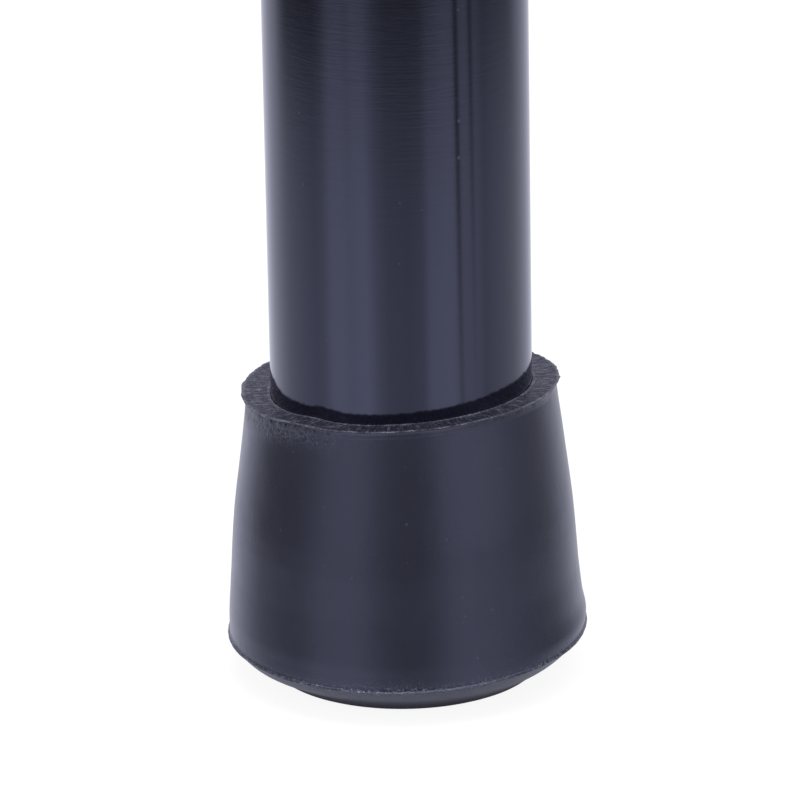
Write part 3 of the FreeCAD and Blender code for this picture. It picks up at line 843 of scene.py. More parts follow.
def foot(name, centre_x, seed, *, rim_tilt, flash_tilt, lean, broad, scuff_at, rise, full, nick):
    """A moulded cup with a hand-trimmed rim, a thin flash round its widest place and a
    chamfer down to a flat base with ring grooves. Lengths in mm, angles in radians from +X.
    rim_tilt, flash_tilt: slopes over +X and +Y    lean: X shift at base, flash, above it, rim
    broad: rim width added left, right             scuff_at: middle of the scuffed stretch
    rise: lift of the rim's rear left              nick: rim lift at one place, its angle, width
    full: chamfer swell all round, more at left, more at right; wall swell at right"""
    cols = 720
    profile, stretch = foot_profile()
    start_radius, level = columns(profile)
    top, bore = FOOT_TOP, FOOT_BORE
    theta = turn_angles(cols)[None, :]
    cosine, sine = np.cos(theta), np.sin(theta)
    radius, height = np.repeat(start_radius, cols, 1), np.repeat(level, cols, 1)

    def wander(frequency, third, step, octaves, gain):
        points = polar(20 * frequency, theta, third)
        values = layered_noise(points.reshape(-1, 3), octaves, seed + step, gain)
        return values.reshape(points.shape[:2])

    def skin(around, upward, step, octaves=3, gain=0.5):
        """Noise over the surface as it stands when called."""
        return wander(around, height * upward + step * 3.1, step, octaves, gain)

    def ring(frequency, step, octaves=3, gain=0.5):
        """Noise round the cup, the same at every height."""
        return wander(frequency, np.array([[step * 1.7]]), step, octaves, gain)

    def hump(value, centre, width):
        return np.exp(-(((value - centre) / width) ** 2))

    on = {key: (stretch == key)[:, None] for key in set(stretch)}
    chamfer, flash, edge, rim, inner = (
        on[key] for key in ("chamfer", "flash", "edge", "rim", "inner")
    )
    outside = on["side"] | flash | chamfer | edge

    # slow unevenness of the moulding, then a fine skin
    radius += outside * (0.055 * skin(0.05, 0.05, 3, octaves=2) + 0.012 * skin(0.5, 0.4, 5))

    # the chamfer is rounded out along its normal; the wall stands full over the flash at right
    rise_share = np.clip((level - CHAMFER_LOW[1]) / (CHAMFER_HIGH[1] - CHAMFER_LOW[1]), 0, 1)
    swell = full[0] + full[1] * smooth(0.2, 0.95, -cosine) + full[2] * smooth(0.2, 0.95, cosine)
    swell = chamfer * np.sin(math.pi * rise_share**1.3) * swell
    radius += 0.627 * swell
    height -= 0.779 * swell
    radius += full[3] * smooth(0.55, 0.97, cosine) * hump(level, 6.6, 1.3) * outside

    # flash: thin and uneven, torn off in places
    tear = np.clip(0.55 + 0.9 * ring(0.35, 11, octaves=4, gain=0.6), 0.0, 1.4)
    radius += hump(level, 4.95, 0.075) * flash * (0.06 + 0.10 * tear)
    height += flash * 0.05 * ring(0.6, 13)

    # scuffs just above and below the flash
    near = smooth(3.0, 4.4, level) * (1 - smooth(5.6, 7.6, level)) * outside
    radius += near * 0.022 * skin(1.6, 1.6, 21, gain=0.6)

    # the rim's outer burr stands out unevenly
    coarse, fine = ring(0.22, 31, gain=0.6), ring(1.1, 33, gain=0.6)
    burr = np.clip(0.30 + 0.55 * coarse + 0.30 * fine, 0.03, 1.0)
    lip_levels = [top - 1.0, top - 0.5, top - 0.22, top - 0.03, top + 0.03, top + 0.06]
    lip = np.interp(level, lip_levels, [0, 0.10, 0.50, 1.0, 0.9, 0.5]) * outside
    radius += lip * burr * 0.42
    height += edge * (0.10 * fine * (level > top - 0.2))

    # cut streaks and a slight hollow across the trimmed face
    rim_share = np.clip((start_radius - bore) / (19.0 - bore), 0, 1)
    streak = wander(2.6, radius * 0.25 + 40.0, 41, octaves=3, gain=0.65)
    patch = skin(0.25, 0.0, 43, octaves=2)
    hollow = np.sin(math.pi * rim_share) ** 0.7
    height += rim * (0.085 * streak + 0.06 * patch - 0.10 * hollow)

    # the rim is broader to the left and right, with a painted shade line where it starts to hang
    # over
    extra = broad[0] * smooth(0.15, 0.95, -cosine) + broad[1] * smooth(0.15, 0.95, cosine)
    hang = top - 0.52 + 0.12 * ring(0.30, 35)
    painted_overhang_shade = hump(level, hang + 0.08, 0.17) * np.clip(extra / 0.2, 0, 1) * outside
    radius += extra * (smooth(0.0, 0.40, level - hang) * outside + rim * rim_share)
    height += 0.8 * extra * (edge | rim | inner) * (0.4 + 0.6 * rim_share)
    height += inner * (0.03 * ring(1.3, 47))

    # the outside just under the rim is scuffed, mostly round scuff_at
    under = smooth(32.4, 35.2, level) * (level < top - 0.25) * outside
    scuff_side = 0.12 + 0.88 * smooth(0.74, 0.98, np.cos(theta - scuff_at))
    rough = 0.045 * skin(2.2, 1.8, 53, gain=0.65) + 0.05 * skin(4.5, 4.0, 57, octaves=2, gain=0.6)
    radius += under * rough * scuff_side

    # rim and flash a little off level, and the cup leaning a little on its base
    x, y = radius * cosine, radius * sine
    rear_left = smooth(math.radians(192), math.radians(163), theta)
    rear_left = rear_left * smooth(math.radians(70), math.radians(118), theta)
    lift = rise * rear_left + nick[0] * hump(theta, nick[1], nick[2])
    tilt = rim_tilt[0] * x + rim_tilt[1] * y + lift
    tilt_share = outside * smooth(12.0, 35.5, height) + on["bore"] * smooth(20, 35, height)
    height += (tilt_share + (rim | inner)) * tilt
    flash_share = smooth(1.2, 4.8, level) * (1 - smooth(5.4, 24.0, level)) * outside
    height += flash_share * (flash_tilt[0] * x + flash_tilt[1] * y)
    lean_levels = [0, FLASH_Z, 12.5, 30.5, 36]
    shift = np.interp(level, lean_levels, [lean[0], lean[1], lean[2], 0.0, lean[3]]) * outside
    rings = polar(radius, theta, height)
    rings[..., 0] += centre_x + shift

    # masks for the rubber
    trimmed = rim * 1.0 + inner * 0.8 + edge * (level > top - 0.1) * 0.8
    trimmed = trimmed + under * 0.25 * scuff_side + chamfer * 0.24
    band = hump(level, 4.92, 0.62) * outside
    scuffed = band * np.clip(0.95 + 0.7 * ring(0.30, 67, gain=0.6), 0.3, 1.0)
    scuffed = scuffed + 0.55 * under * scuff_side
    scuffed = scuffed + 0.35 * near * np.clip(0.3 + ring(0.2, 69, octaves=2), 0, 1)
    edge_rub = np.clip(0.42 + 1.1 * ring(0.8, 61, gain=0.6), 0.0, 1.0)
    flash_rub = np.clip(-0.10 + 1.2 * ring(1.6, 63, gain=0.6), 0.0, 0.8)
    inner_rub = np.clip(0.65 + 0.9 * ring(0.7, 65, gain=0.6), 0.1, 1.0)
    worn = edge * (level > top - 0.14) * edge_rub
    worn = worn + (inner | (rim & (start_radius < bore + 0.40))) * inner_rub
    worn = worn + flash * (np.abs(level - FLASH_Z) < 0.13) * flash_rub
    attributes = {"sweep": polar(radius, theta, height + 90.0 * seed)}
    # the shade attribute carries the painted shade line under the rim's overhang
    for key, mask in (("cut", trimmed), ("worn", worn), ("scuff", scuffed), ("shade", painted_overhang_shade)):
        attributes[key] = np.clip(mask, 0, 1)
    return shell(name, rings, attributes, capped=True, sharp=50)


left_foot = foot(
    "left_foot_moulded", -LEG_X, seed=3,
    rim_tilt=(0.047, -0.047), flash_tilt=(0.019, 0.016), lean=(0.03, 0.24, 0.10, -0.07),
    broad=(0.36, 0.22), scuff_at=-2.6, rise=0.68,
    full=(0.22, 0.20, 0.06, 0.28), nick=(0.26, 3.98, 0.17),
)
right_foot = foot(
    "right_foot_moulded", LEG_X, seed=8,
    rim_tilt=(-0.020, 0.030), flash_tilt=(0.012, -0.02), lean=(0.1, 0.05, 0.0, 0.0),
    broad=(0.16, 0.30), scuff_at=0.6, rise=-0.25,
    full=(0.20, 0.06, 0.14, 0.10), nick=(-0.22, 1.15, 0.30),
)
finish_piece(left_foot, "left_arm", "left_foot", "foot_rubber")
finish_piece(right_foot, "right_arm", "right_foot", "foot_rubber")


# ------------------------------------------------------------------ mouth bushings and rivets
def bushing(name):
    """A sleeve inside the crossbar's mouth, with a grooved flange outside it."""
    low, high = box_mm("right_mouth_bushing")
    bore, sleeve, flange = ARM_R + 0.1, BAR_IN - 0.02, float(high[2] - low[2]) / 2
    start, mouth, end = float(low[0]), BAR_END, float(high[0])
    groove = flange - 0.35
    corners = (   # radius, x, corner radius
        (bore, start, 0.2), (sleeve, start, 0.4), (sleeve, mouth, 0.15), (flange, mouth, 0.5),
        (flange, mouth + 1.5, 0.12), (groove, mouth + 1.9, 0.12),
        (groove, mouth + 2.5, 0.12), (flange, mouth + 2.9, 0.12),
        (flange, end - 1.8, 0.9), (flange - 1.8, end, 0.9),
        (bore + 0.5, end, 0.2), (bore, end - 0.5, 0.2),
    )
    profile = rounded([c[:2] for c in corners], [c[2] for c in corners], steps=4)
    return lathe(name, spaced(profile, 2.5), 128, (0, 0, H), along_x=True)


finish_pair(
    bushing("right_mouth_bushing_turned"), "crossbar", "right_mouth_bushing", "guide_plastic"
)


def rivets(name):
    """Two dome heads on the crossbar, front and rear, each with its shank."""
    cols = 48
    theta = turn_angles(cols)
    profile = [(1.6, -2.7), (1.6, -0.6), (1.6, -0.2)]          # shank: radius, height
    profile += [(3.42, 0.0), (3.46, 0.10), (3.40, 0.30)]       # rim of the head
    profile += [
        (3.35 * math.cos(a), 0.25 + 0.95 * math.sin(a)) for a in np.linspace(0.12, 1.40, 12)
    ]
    profile += [(0.30, 1.19)]
    radius, height = columns(profile)
    local = polar(radius, theta, height)
    seat = np.sqrt(np.maximum(BAR_R**2 - local[..., 1] ** 2, 0))
    # the head's wide part follows the tube's round
    reach = height + np.where(radius > 2.5, seat, BAR_R)
    points, faces, sweep = [], [], []
    for side in (-1, 1):
        rings = np.stack([RIVET_X + local[..., 0], side * reach, H + local[..., 1]], -1)
        start = len(points)
        faces += grid_faces(len(profile), cols, start=start)
        points += [*rings.reshape(-1, 3), *rings[[0, -1]].mean(1)]
        sweep += [*local.reshape(-1, 3), *np.zeros((2, 3))]
        faces += fan(start, cols, len(points) - 2)
        faces += fan(start + (len(profile) - 1) * cols, cols, len(points) - 1)
    return put(name, points, faces, {"sweep": np.array(sweep)}, sharp=40)


finish_pair(rivets("right_bushing_rivets_set"), "crossbar", "right_bushing_rivets", "zinc_steel")


# ------------------------------------------------------------------ lock knobs
KNOB_UNDERSIDE = (   # radius, height above the knob's lowest point
    (0.4, 1.05), (4.6, 1.05), (5.2, 0.95), (5.45, 0.45), (5.8, 0.15), (6.6, 0.1),
    (7.3, 0.5), (7.8, 0.9), (8.6, 0.95), (9.1, 0.6), (9.6, 0.15),
)
KNOB_LOWER_EDGE = (  # inset of the lobed outline, height
    (3.4, 0.02), (2.6, 0.08), (1.9, 0.26), (1.2, 0.62), (0.62, 1.2), (0.22, 2.0),
    (0.04, 3.0), (0.0, 4.2),
)
KNOB_UPPER_EDGE = (  # inset, height
    (0.05, 13.2), (0.25, 14.05), (0.62, 14.6), (1.1, 14.88), (1.8, 15.0), (2.8, 15.02),
)
KNOB_NECK = (        # radius, height: up the neck, then down its bore
    (9.9, 15.1), (9.62, 15.4), (9.5, 15.9), (9.5, 18.0), (9.5, 20.6), (9.42, 21.35),
    (9.15, 21.75), (8.7, 21.95), (8.2, 22.0), (4.6, 22.0), (4.15, 21.8), (4.05, 21.4),
    (4.05, 15.0), (0.5, 15.0),
)


def lobed_outline(theta, inset):
    """Radius of a round with five scooped valleys, drawn in by inset."""
    valley_centre, valley_radius, ease = 22.6, 9.0 + inset, 1.7
    radius = np.full(len(theta), 18.0 - inset)
    for k in range(5):
        centre = math.radians(72 * (k + 0.5) + 90)
        off = (theta - centre + math.pi) % TAU - math.pi
        square = valley_radius**2 - (valley_centre * np.sin(off)) ** 2
        near_side = valley_centre * np.cos(off) - np.sqrt(np.clip(square, 0, None))
        valley = np.where((square > 0) & (np.cos(off) > 0), near_side, 60.0)
        # an eased corner where the valley meets the lobe
        share = np.clip(0.5 + 0.5 * (radius - valley) / ease, 0, 1)
        radius = radius * (1 - share) + valley * share - ease * share * (1 - share)
    return radius


def knob(name):
    low = float(box_mm("right_knob_head")[0][2])
    theta = turn_angles(320)
    sides = [(0.0, z) for z in np.linspace(5.2, 12.2, 8)]
    rows = [(np.full(320, radius), z) for radius, z in KNOB_UNDERSIDE]
    for inset, z in (*KNOB_LOWER_EDGE, *sides, *KNOB_UPPER_EDGE):
        rows.append((lobed_outline(theta, inset), z))
    # the shoulder runs in to the neck, hollowed a little between
    shoulder = lobed_outline(theta, 2.8)
    for t in (0.35, 0.7, 0.9):
        rows.append((shoulder * (1 - t) + 10.3 * t, 15.02 - 0.25 * math.sin(math.pi * t)))
    rows += [(np.full(320, radius), z) for radius, z in KNOB_NECK]
    heights = low + np.array([z for _, z in rows])[:, None]
    local = polar(np.array([radius for radius, _ in rows]), theta, heights)
    rings = local + np.array([KNOB_X, 0, 0])
    return shell(name, rings, {"sweep": local}, capped=True, sharp=44)


def stud(name):
    low, high = box_mm("right_knob_stud")
    bottom = float(low[2])
    length = float(high[2]) - bottom
    theta = turn_angles(40)
    body = np.arange(0.5, length - 0.9, 0.105)
    along = np.concatenate([[0.0, 0.25], body, [length - 0.8, length - 0.4, length]])
    crest = 3.92
    radius = threaded(crest, 0.62, along, theta, start=1.2, end=length - 0.7)
    taper_at = [0, 0.25, 0.5, length - 0.8, length]
    taper = np.interp(along, taper_at, [0.35, 0.1, 0, 0.55, 1.2])[:, None]
    local = polar(np.minimum(radius, crest - taper), theta, bottom + along[:, None])
    rings = local + np.array([KNOB_X, 0, 0])
    return shell(name, rings, {"sweep": local}, capped=True, sharp=60)


finish_pair(knob("right_knob_head_moulded"), "right_knob", "right_knob_head", "knob_plastic")
finish_pair(stud("right_knob_stud_threaded"), "right_knob", "right_knob_stud", "zinc_steel")


# ------------------------------------------------------------------ U-bolts and sleeves
def u_line(bottom, leg_steps, bend_steps):
    """Up the front leg, over the crown and down the rear leg: points, tangents, arc length
    and whole length. leg_steps are distances up from bottom."""
    length = RUNG_DZ - bottom
    total = 2 * length + LEG_Y * math.pi
    angle = np.linspace(0, math.pi, bend_steps + 1)
    leg, down = np.ones(len(leg_steps)), leg_steps[::-1]
    y = LEG_Y * np.concatenate([-leg, -np.cos(angle), leg])
    z = np.concatenate([bottom + leg_steps, RUNG_DZ + LEG_Y * np.sin(angle), bottom + down])
    along_y = np.concatenate([0 * leg, np.sin(angle), 0 * leg])
    along_z = np.concatenate([leg, np.cos(angle), -leg])
    arc = np.concatenate([leg_steps, length + LEG_Y * angle, total - down])
    path = np.stack([0 * y, y, z], -1) + np.array([CLAMP_X, 0, H])
    return path, np.stack([0 * y, along_y, along_z], -1), arc, total


U_SIDE = np.array([1.0, 0, 0])


def u_bolt(name):
    """One rod, threaded on both legs."""
    thread = 46.0                          # thread length on each leg
    theta = turn_angles(40)
    leg_steps = np.concatenate([
        [0.0, 0.35, 0.75, 1.1],
        np.arange(1.25, thread + 1.5, 0.125),
        np.arange(thread + 3.5, RUNG_DZ - LEG_END, 5.0),
    ])
    path, tangent, along, total = u_line(LEG_END, leg_steps, 72)
    crest, depth = 3.98, 0.66
    front = threaded(crest, depth, along, theta, 1.2, thread)
    rear = threaded(crest, depth, total - along, -theta, 1.2, thread, phase=0.37)
    radius = np.full((len(along), len(theta)), ROD_R)
    radius = np.where((along < thread + 1.4)[:, None], front, radius)
    radius = np.where((total - along < thread + 1.4)[:, None], rear, radius)
    # tapered ends
    from_end = np.minimum(along, total - along)
    taper = np.interp(from_end, [0, 0.35, 0.75, 1.1, 1.6], [1.15, 0.75, 0.38, 0.1, -0.1])
    radius = np.minimum(radius, (crest - taper)[:, None])
    rings = rings_on(path, tangent, U_SIDE, radius, theta)
    sweep = polar(radius, theta, along[:, None])
    return shell(name, rings, {"sweep": sweep}, capped=True, sharp=60)


def u_sleeve(name):
    """A slightly uneven sleeve over the U-bolt's crown, its ends drawn in."""
    bottom = float(box_mm("right_u_bolt_sleeve")[0][2]) - H
    theta = turn_angles(64)
    leg_steps = np.linspace(0, RUNG_DZ - bottom, 4, endpoint=False)
    path, tangent, along, total = u_line(bottom, leg_steps, 96)
    along = along[:, None]
    wobble = layered_noise(polar(0.5, theta, along * 0.12).reshape(-1, 3), octaves=2, seed=77)
    outer = 5.94 + 0.05 * wobble.reshape(len(along), len(theta))
    outer = outer - 0.5 * np.exp(-((np.minimum(along, total - along) / 0.55) ** 2))
    inner = np.full(outer.shape, ROD_R + 0.05)
    rings = [rings_on(path, tangent, U_SIDE, radius, theta) for radius in (outer, inner)]
    sweep = [polar(radius, theta, along) for radius in (outer, inner)]
    rings, sweep = (np.concatenate([out, back[::-1]]) for out, back in (rings, sweep))
    return shell(name, rings, {"sweep": sweep}, sharp=50)


finish_pair(
    u_bolt("right_u_bolt_threaded"), "right_u_bolt_set", "right_u_bolt", "zinc_steel", moved=True
)
finish_pair(
    u_sleeve("right_u_bolt_sleeve_pulled"),
    "right_u_bolt_set", "right_u_bolt_sleeve", "sleeve_vinyl", moved=True,
)


# ------------------------------------------------------------------ liners and washers
def liner(name):
    """A rubber ring round the crossbar with beaded ends, split at the rear (+Y)."""
    low, high = box_mm("right_clamp_liner")
    x0, x1 = float(low[0]), float(high[0])
    bore, outer = BAR_R + 0.05, float(high[2] - low[2]) / 2
    bead = ((0.35, 0), (0.08, 0.15), (0, 0.5), (0, 1.6), (0.12, 1.9))   # depth, from the end
    profile = [(outer - depth, x0 + back) for depth, back in bead]
    for x in np.linspace(x0 + 2.4, x1 - 2.4, 60):
        profile.append((outer - 0.14 + 0.03 * math.sin((x - x0) * 2.1), x))
    profile += [(outer - depth, x1 - back) for depth, back in bead[::-1]]
    profile += [(bore + 0.15, x1), (bore, x1 - 0.3)]
    profile += [(bore, x) for x in np.linspace(x1 - 3, x0 + 3, 12)]
    profile += [(bore, x0 + 0.3), (bore + 0.15, x0)]
    half_gap = 1.2 / outer
    theta = np.linspace(half_gap, TAU - half_gap, 140)[:, None]
    radius, x = np.array(profile).T
    local = polar(radius, theta, x)
    rows, cols = local.shape[:2]
    points = (local[..., ALONG_X] + np.array([0, 0, H])).reshape(-1, 3)
    faces = grid_faces(rows, cols)
    faces += [tuple(range(cols)), tuple(range((rows - 1) * cols, rows * cols))]
    return put(name, points, faces, {"sweep": local.reshape(-1, 3)}, sharp=35)


def washers(name):
    """A washer on each leg of the U-bolt, as one mesh."""
    low, high = box_mm("right_clamp_washers")
    bottom, top = float(low[2]), float(high[2])
    bore, rim = 4.3, 9.0
    corners = [(bore, bottom), (rim, bottom), (rim, top), (bore, top)]
    profile = spaced(rounded(corners, [0.25, 0.3, 0.55, 0.35], steps=4), 1.2)
    singles = [lathe("washer", profile, 96, (CLAMP_X, side * LEG_Y, 0)) for side in (-1, 1)]
    bm = bmesh.new()
    for single in singles:
        bm.from_mesh(single.data)
    mesh = bpy.data.meshes.new(name)
    bm.to_mesh(mesh)
    bm.free()
    for single in singles:
        bpy.data.objects.remove(single)
    shade(mesh, 40)
    return link(name, mesh)


finish_pair(
    liner("right_clamp_liner_moulded"),
    "right_liner", "right_clamp_liner", "liner_rubber", moved=True,
)
finish_pair(
    washers("right_clamp_washers_set"),
    "right_clamp", "right_clamp_washers", "zinc_steel", moved=True,
)

# ------------------------------------------------------------------ pieces with eased edges
EASED = (   # node, voxel size in mm, smoothing steps, material, body, left one is moved
    ("right_rung_block", 0.55, 3, BY_SLOT["block_plastic"], "right_clamp", True),
    ("right_clamp_strap", 0.32, 3, ZINC, "right_clamp", True),
    ("right_front_wing_nut", 0.22, 4, ZINC_CAST, "right_front_nut", True),
    ("right_rear_wing_nut", 0.22, 4, ZINC_CAST, "right_rear_nut", True),
    ("right_saddle_washer", 0.25, 3, ZINC, "right_knob_saddle", False),
)
for node, voxel, steps, material, body, moved in EASED:
    eased = softened(node, node + "_eased", voxel, steps)
    finish_pair(eased, body, node, moved=moved, material=material)

# ------------------------------------------------------------------ what reflections see
# Brightness by azimuth, in degrees from the front (-Y) towards +X: (azimuth, level).
STEEP_DOWN = (
    (-180, 1.00), (-150, 1.08), (-130, 0.92), (-112, 0.74), (-95, 0.69), (-78, 0.64),
    (-70, 0.72), (-61, 1.04), (-50, 1.07), (-44, 1.00), (-37, 1.06), (-29, 1.12), (-19, 0.79),
    (-10, 0.61), (8, 0.56), (20, 0.64), (27, 0.99), (46, 1.01), (60, 0.82), (72, 0.76),
    (80, 0.56), (88, 0.60), (102, 0.62), (118, 0.66), (132, 0.80), (150, 0.95), (180, 1.00),
)
SHALLOW_DOWN = (
    (-180, 1.00), (-150, 0.98), (-128, 0.78), (-118, 0.46), (-108, 0.16), (-90, 0.07),
    (-76, 0.07), (-68, 0.24), (-60, 0.62), (-50, 0.68), (-44, 0.58), (-38, 0.78), (-29, 0.62),
    (-20, 0.24), (-10, 0.09), (18, 0.06), (30, 0.24), (40, 0.62), (60, 0.70), (70, 0.60),
    (80, 0.37), (92, 0.46), (118, 0.49), (132, 0.70), (150, 0.92), (180, 1.00),
)
NEARLY_LEVEL = (
    (-180, 1.00), (-150, 1.02), (-135, 0.80), (-118, 0.42), (-104, 0.30), (-91, 0.28),
    (-76, 0.30), (-68, 0.36), (-58, 0.62), (-50, 0.77), (-33, 0.87), (-26, 0.74), (-16.6, 0.48),
    (-8, 0.34), (10, 0.32), (16.3, 0.36), (22, 0.62), (28, 0.90), (44, 0.96), (54, 0.93),
    (70, 0.75), (80, 0.56), (91, 0.43), (104, 0.39), (118, 0.43), (135, 0.76), (150, 0.96),
    (180, 1.00),
)
# By elevation in degrees: (elevation, level).
SHALLOW_SHARE = (
    (-40, 0.0), (-18.6, 0.0), (-17.2, 0.04), (-16.6, 0.34), (-15.7, 1.0), (-12, 1.0),
    (-8, 0.55), (-5, 0.36), (0, 0.32), (12, 0.55), (40, 0.75),
)
LEVEL_SHARE = ((-40, 0), (-13.0, 0.0), (-11.0, 1.0), (3, 1.0), (14, 0.0), (40, 0))
FRONT_DIMMING = ((-40, 1), (-16.5, 1.0), (-15.6, 0.46), (-12.5, 0.50), (-9.0, 1.0), (40, 1))
# Slanting dark lines: centre and half width in degrees of azimuth, then depth by elevation.
DARK_LINES = (
    (52.3, 3.4, ((-30, 0), (-22, 0.0), (-19, 0.36), (-18.1, 0.55), (-17.2, 0.92),
                 (-13, 0.95), (-10, 0.0), (10, 0))),
    (66.6, 3.2, ((-30, 0), (-19.5, 0.0), (-18.1, 0.20), (-17.2, 0.50), (-16.4, 0.80),
                 (-13, 0.90), (-10, 0.0), (10, 0))),
)


def studio(n, direction):
    """The studio's colour in a mirror, by direction, and the direction's elevation."""
    axis = n.axes(direction)
    azimuth = n.math("DEGREES", n.math("ARCTAN2", axis[0], n.times(axis[1], -1.0)))
    elevation = n.math("DEGREES", n.math("ARCSINE", axis[2]))
    steep, shallow = n.ramp(azimuth, STEEP_DOWN), n.ramp(azimuth, SHALLOW_DOWN)
    grey = n.mix(n.ramp(elevation, SHALLOW_SHARE), steep, shallow)
    grey = n.mix(n.ramp(elevation, LEVEL_SHARE), grey, n.ramp(azimuth, NEARLY_LEVEL))
    # the dimming stops towards the back
    off_front = n.math("ABSOLUTE", azimuth)
    dimming = n.ramp(elevation, FRONT_DIMMING)
    grey = n.times(grey, n.greater(dimming, n.span(off_front, 92, 128)))
    slanted = n.math("MULTIPLY_ADD", n.math("ADD", elevation, 15.8), 0.85, azimuth)
    for centre, half_width, depth in DARK_LINES:
        off_line = n.math("ABSOLUTE", n.math("SUBTRACT", slanted, centre))
        line = n.times(n.span(off_line, half_width, 0.6), n.ramp(elevation, depth))
        grey = n.times(grey, n.math("SUBTRACT", 1.0, line))
    # bluer at the sides, more so behind, and yellower above
    tint = n.mix(n.span(off_front, 60, 90), (1.0, 1.0, 1.0), (0.97, 0.985, 1.04))
    tint = n.mix(n.span(off_front, 110, 150), tint, (0.92, 0.94, 1.07))
    tint = n.mix(n.span(elevation, 28, 52), tint, (1.03, 1.05, 0.87))
    seen = n.node("ShaderNodeVectorMath", {0: tint, "Scale": grey}, operation="SCALE")
    return seen.outputs[0], elevation


# ------------------------------------------------------------------ floor
# A painted contact shadow: the floor's glow, as reflections and bounced light see it, darkened
# round each foot.
PAINTED_FOOT_SHADOW = (   # distance from a leg's axis in mm, brightness of the floor
    (0, 0.04), (15.9, 0.05), (16.4, 0.10), (16.9, 0.24), (17.5, 0.30), (18.2, 0.48),
    (19.0, 0.50), (25, 1.0), (30, 1.0),
)


def floor_material():
    """Pale paper. Direct view and reflections see set levels; the glow that reflections and bounced
    light see has a painted contact shadow under each foot.
    """
    m = Material("floor_paper", **{"Roughness": 0.9, "Specular IOR Level": 0.1})
    place = m.coords()
    tone = m.noise(place, 0.004, roughness=0.5)
    m.put(**{"Base Color": m.mix(tone, (0.135, 0.135, 0.137), (0.145, 0.145, 0.147))})
    axis = m.axes(place)
    from_leg = m.math("SUBTRACT", m.math("ABSOLUTE", axis[0]), LEG_X)
    # painted contact shadow under each foot, used in the glows below
    under = m.ramp(m.distance(from_leg, axis[1]), PAINTED_FOOT_SHADOW)

    def glow(color, strength=1.0):
        inputs = {"Color": color, "Strength": strength}
        return m.node("ShaderNodeEmission", inputs).outputs[0]

    incoming = m.node("ShaderNodeNewGeometry").outputs["Incoming"]
    away = m.node("ShaderNodeVectorMath", {0: incoming, "Scale": -1.0}, operation="SCALE")
    seen, _ = studio(m, away.outputs[0])
    lit = m.node("ShaderNodeAddShader", {0: m.shader.outputs[0], 1: glow((0.90, 0.90, 0.90))})
    ray = m.node("ShaderNodeLightPath").outputs
    shader = m.choose(ray["Is Camera Ray"], glow((0.74, 0.74, 0.75), under), lit.outputs[0])
    shader = m.choose(ray["Is Glossy Ray"], shader, glow(seen, under))
    m.join(shader, m.output.inputs[0])
    m.material.cycles.emission_sampling = "NONE"
    return m.material


def floor():
    """A round floor, finest near the object."""
    cols = 96
    radii = (0.5, 1, 2, 4, 8, 16, 30)      # metres
    points = [(0, 0, 0)]
    for radius in radii:
        points += [*polar(1000 * radius, turn_angles(cols), 0.0)]
    faces = [(0, 1 + k, 1 + (k + 1) % cols) for k in range(cols)]
    for ring in range(len(radii) - 1):
        near, far = 1 + ring * cols, 1 + (ring + 1) * cols
        for k in range(cols):
            after = (k + 1) % cols
            faces.append((near + k, far + k, far + after, near + after))
    piece = put("floor", points, faces, sharp=0, outward=False)
    piece.data.materials.append(floor_material())


floor()


# ------------------------------------------------------------------ world
SKY_LIGHT = ((-90, 0.55), (0, 0.55), (15, 0.62), (45, 0.80), (90, 0.95))   # elevation, level
SKY_IN_MIRROR = ((0, 1.0), (20, 0.85), (60, 0.7), (90, 0.7))               # elevation, strength


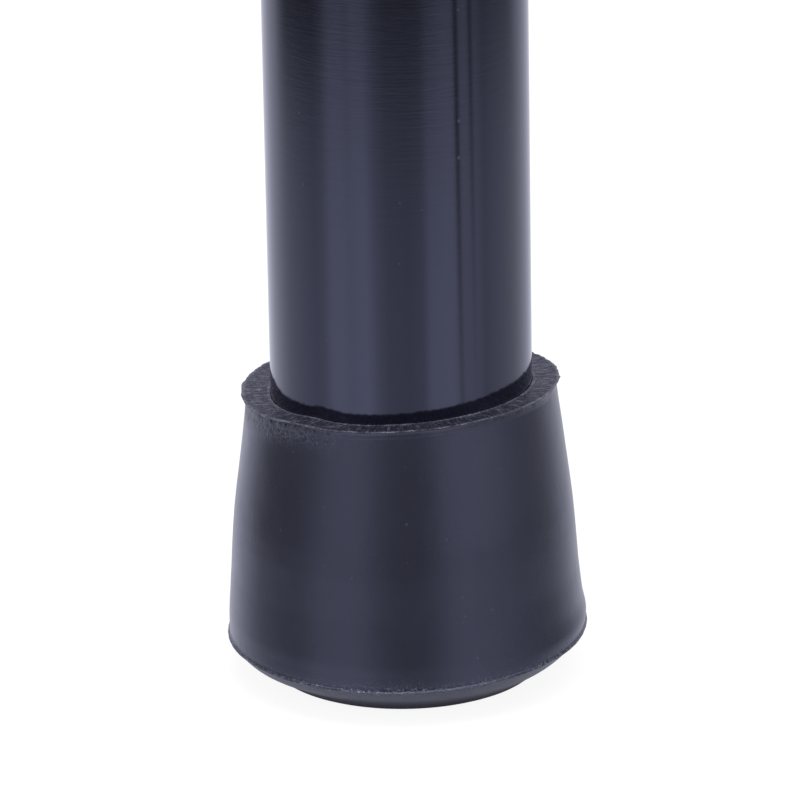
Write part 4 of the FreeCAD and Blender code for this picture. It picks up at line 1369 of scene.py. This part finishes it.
def sky():
    """Soft light for surfaces, the studio for reflections, plain white for the camera."""
    world = bpy.data.worlds.new("studio")
    SCENE.world = world
    world.use_nodes = True
    n = ShaderNodes(world.node_tree)
    output = n.node("ShaderNodeOutputWorld")
    ray = n.node("ShaderNodeLightPath").outputs
    seen, elevation = studio(n, n.node("ShaderNodeTexCoord").outputs["Generated"])

    def background(color, strength=1.0):
        inputs = {"Color": color, "Strength": strength}
        return n.node("ShaderNodeBackground", inputs).outputs[0]

    light = background(n.ramp(elevation, SKY_LIGHT), 0.75)
    mirror = background(seen, n.ramp(elevation, SKY_IN_MIRROR))
    shader = n.choose(ray["Is Glossy Ray"], light, mirror)
    shader = n.choose(ray["Is Camera Ray"], shader, background((1.0, 1.0, 1.0)))
    n.join(shader, output.inputs["Surface"])
    world.cycles.sampling_method = "NONE"


sky()

# ------------------------------------------------------------------ lights
LIGHT_TARGET = (0, 0, 0.2)
SOFTBOXES = (   # name, place and two side lengths in metres, power in watts
    ("top_box", (0, -0.2, 2.6), (2.6, 1.2), 40),
    ("left_box", (-2.6, -1.0, 1.5), (1.2, 1.2), 14),
    ("right_box", (2.6, -0.8, 1.5), (1.2, 1.2), 14),
    ("front_box", (0.2, -3.0, 2.2), (2.2, 0.8), 12),
    ("back_box", (0.0, 2.8, 2.2), (2.2, 0.8), 12),
)


def aim(thing, place, target):
    """Puts a light or camera at place and gives the turn that faces it to target."""
    thing.location = place
    thing.rotation_mode = "QUATERNION"
    return (Vector(target) - Vector(place)).to_track_quat("-Z", "Y")


for name, place, size, power in SOFTBOXES:
    data = bpy.data.lights.new(name, "AREA")
    data.shape = "RECTANGLE"
    data.size, data.size_y = size
    data.energy = power
    data.color = (1.0, 0.99, 0.93)
    light = link(name, data)
    light.rotation_quaternion = aim(light, place, LIGHT_TARGET)
    light.visible_camera = False

# ------------------------------------------------------------------ camera, on the left foot
CAMERA_ELEVATION = math.radians(19.5)
CAMERA_DISTANCE = 0.740
CAMERA_ROLL = math.radians(-0.98)
CAMERA_TARGET = Vector((-LEG_X / 1000.0, 0.0, 0.03428))

lens = bpy.data.cameras.new("camera")
lens.sensor_width = 36.0
lens.lens = 272.4
lens.clip_start, lens.clip_end = 0.02, 200.0
lens.shift_x = -0.001875
camera = link("camera", lens)
towards_camera = Vector((0, -math.cos(CAMERA_ELEVATION), math.sin(CAMERA_ELEVATION)))
camera_place = CAMERA_TARGET + CAMERA_DISTANCE * towards_camera
facing = aim(camera, camera_place, CAMERA_TARGET)
camera.rotation_quaternion = facing @ Quaternion((0, 0, 1), CAMERA_ROLL)
SCENE.camera = camera
SCENE.view_settings.view_transform = "Standard"
SCENE.view_settings.look = "None"
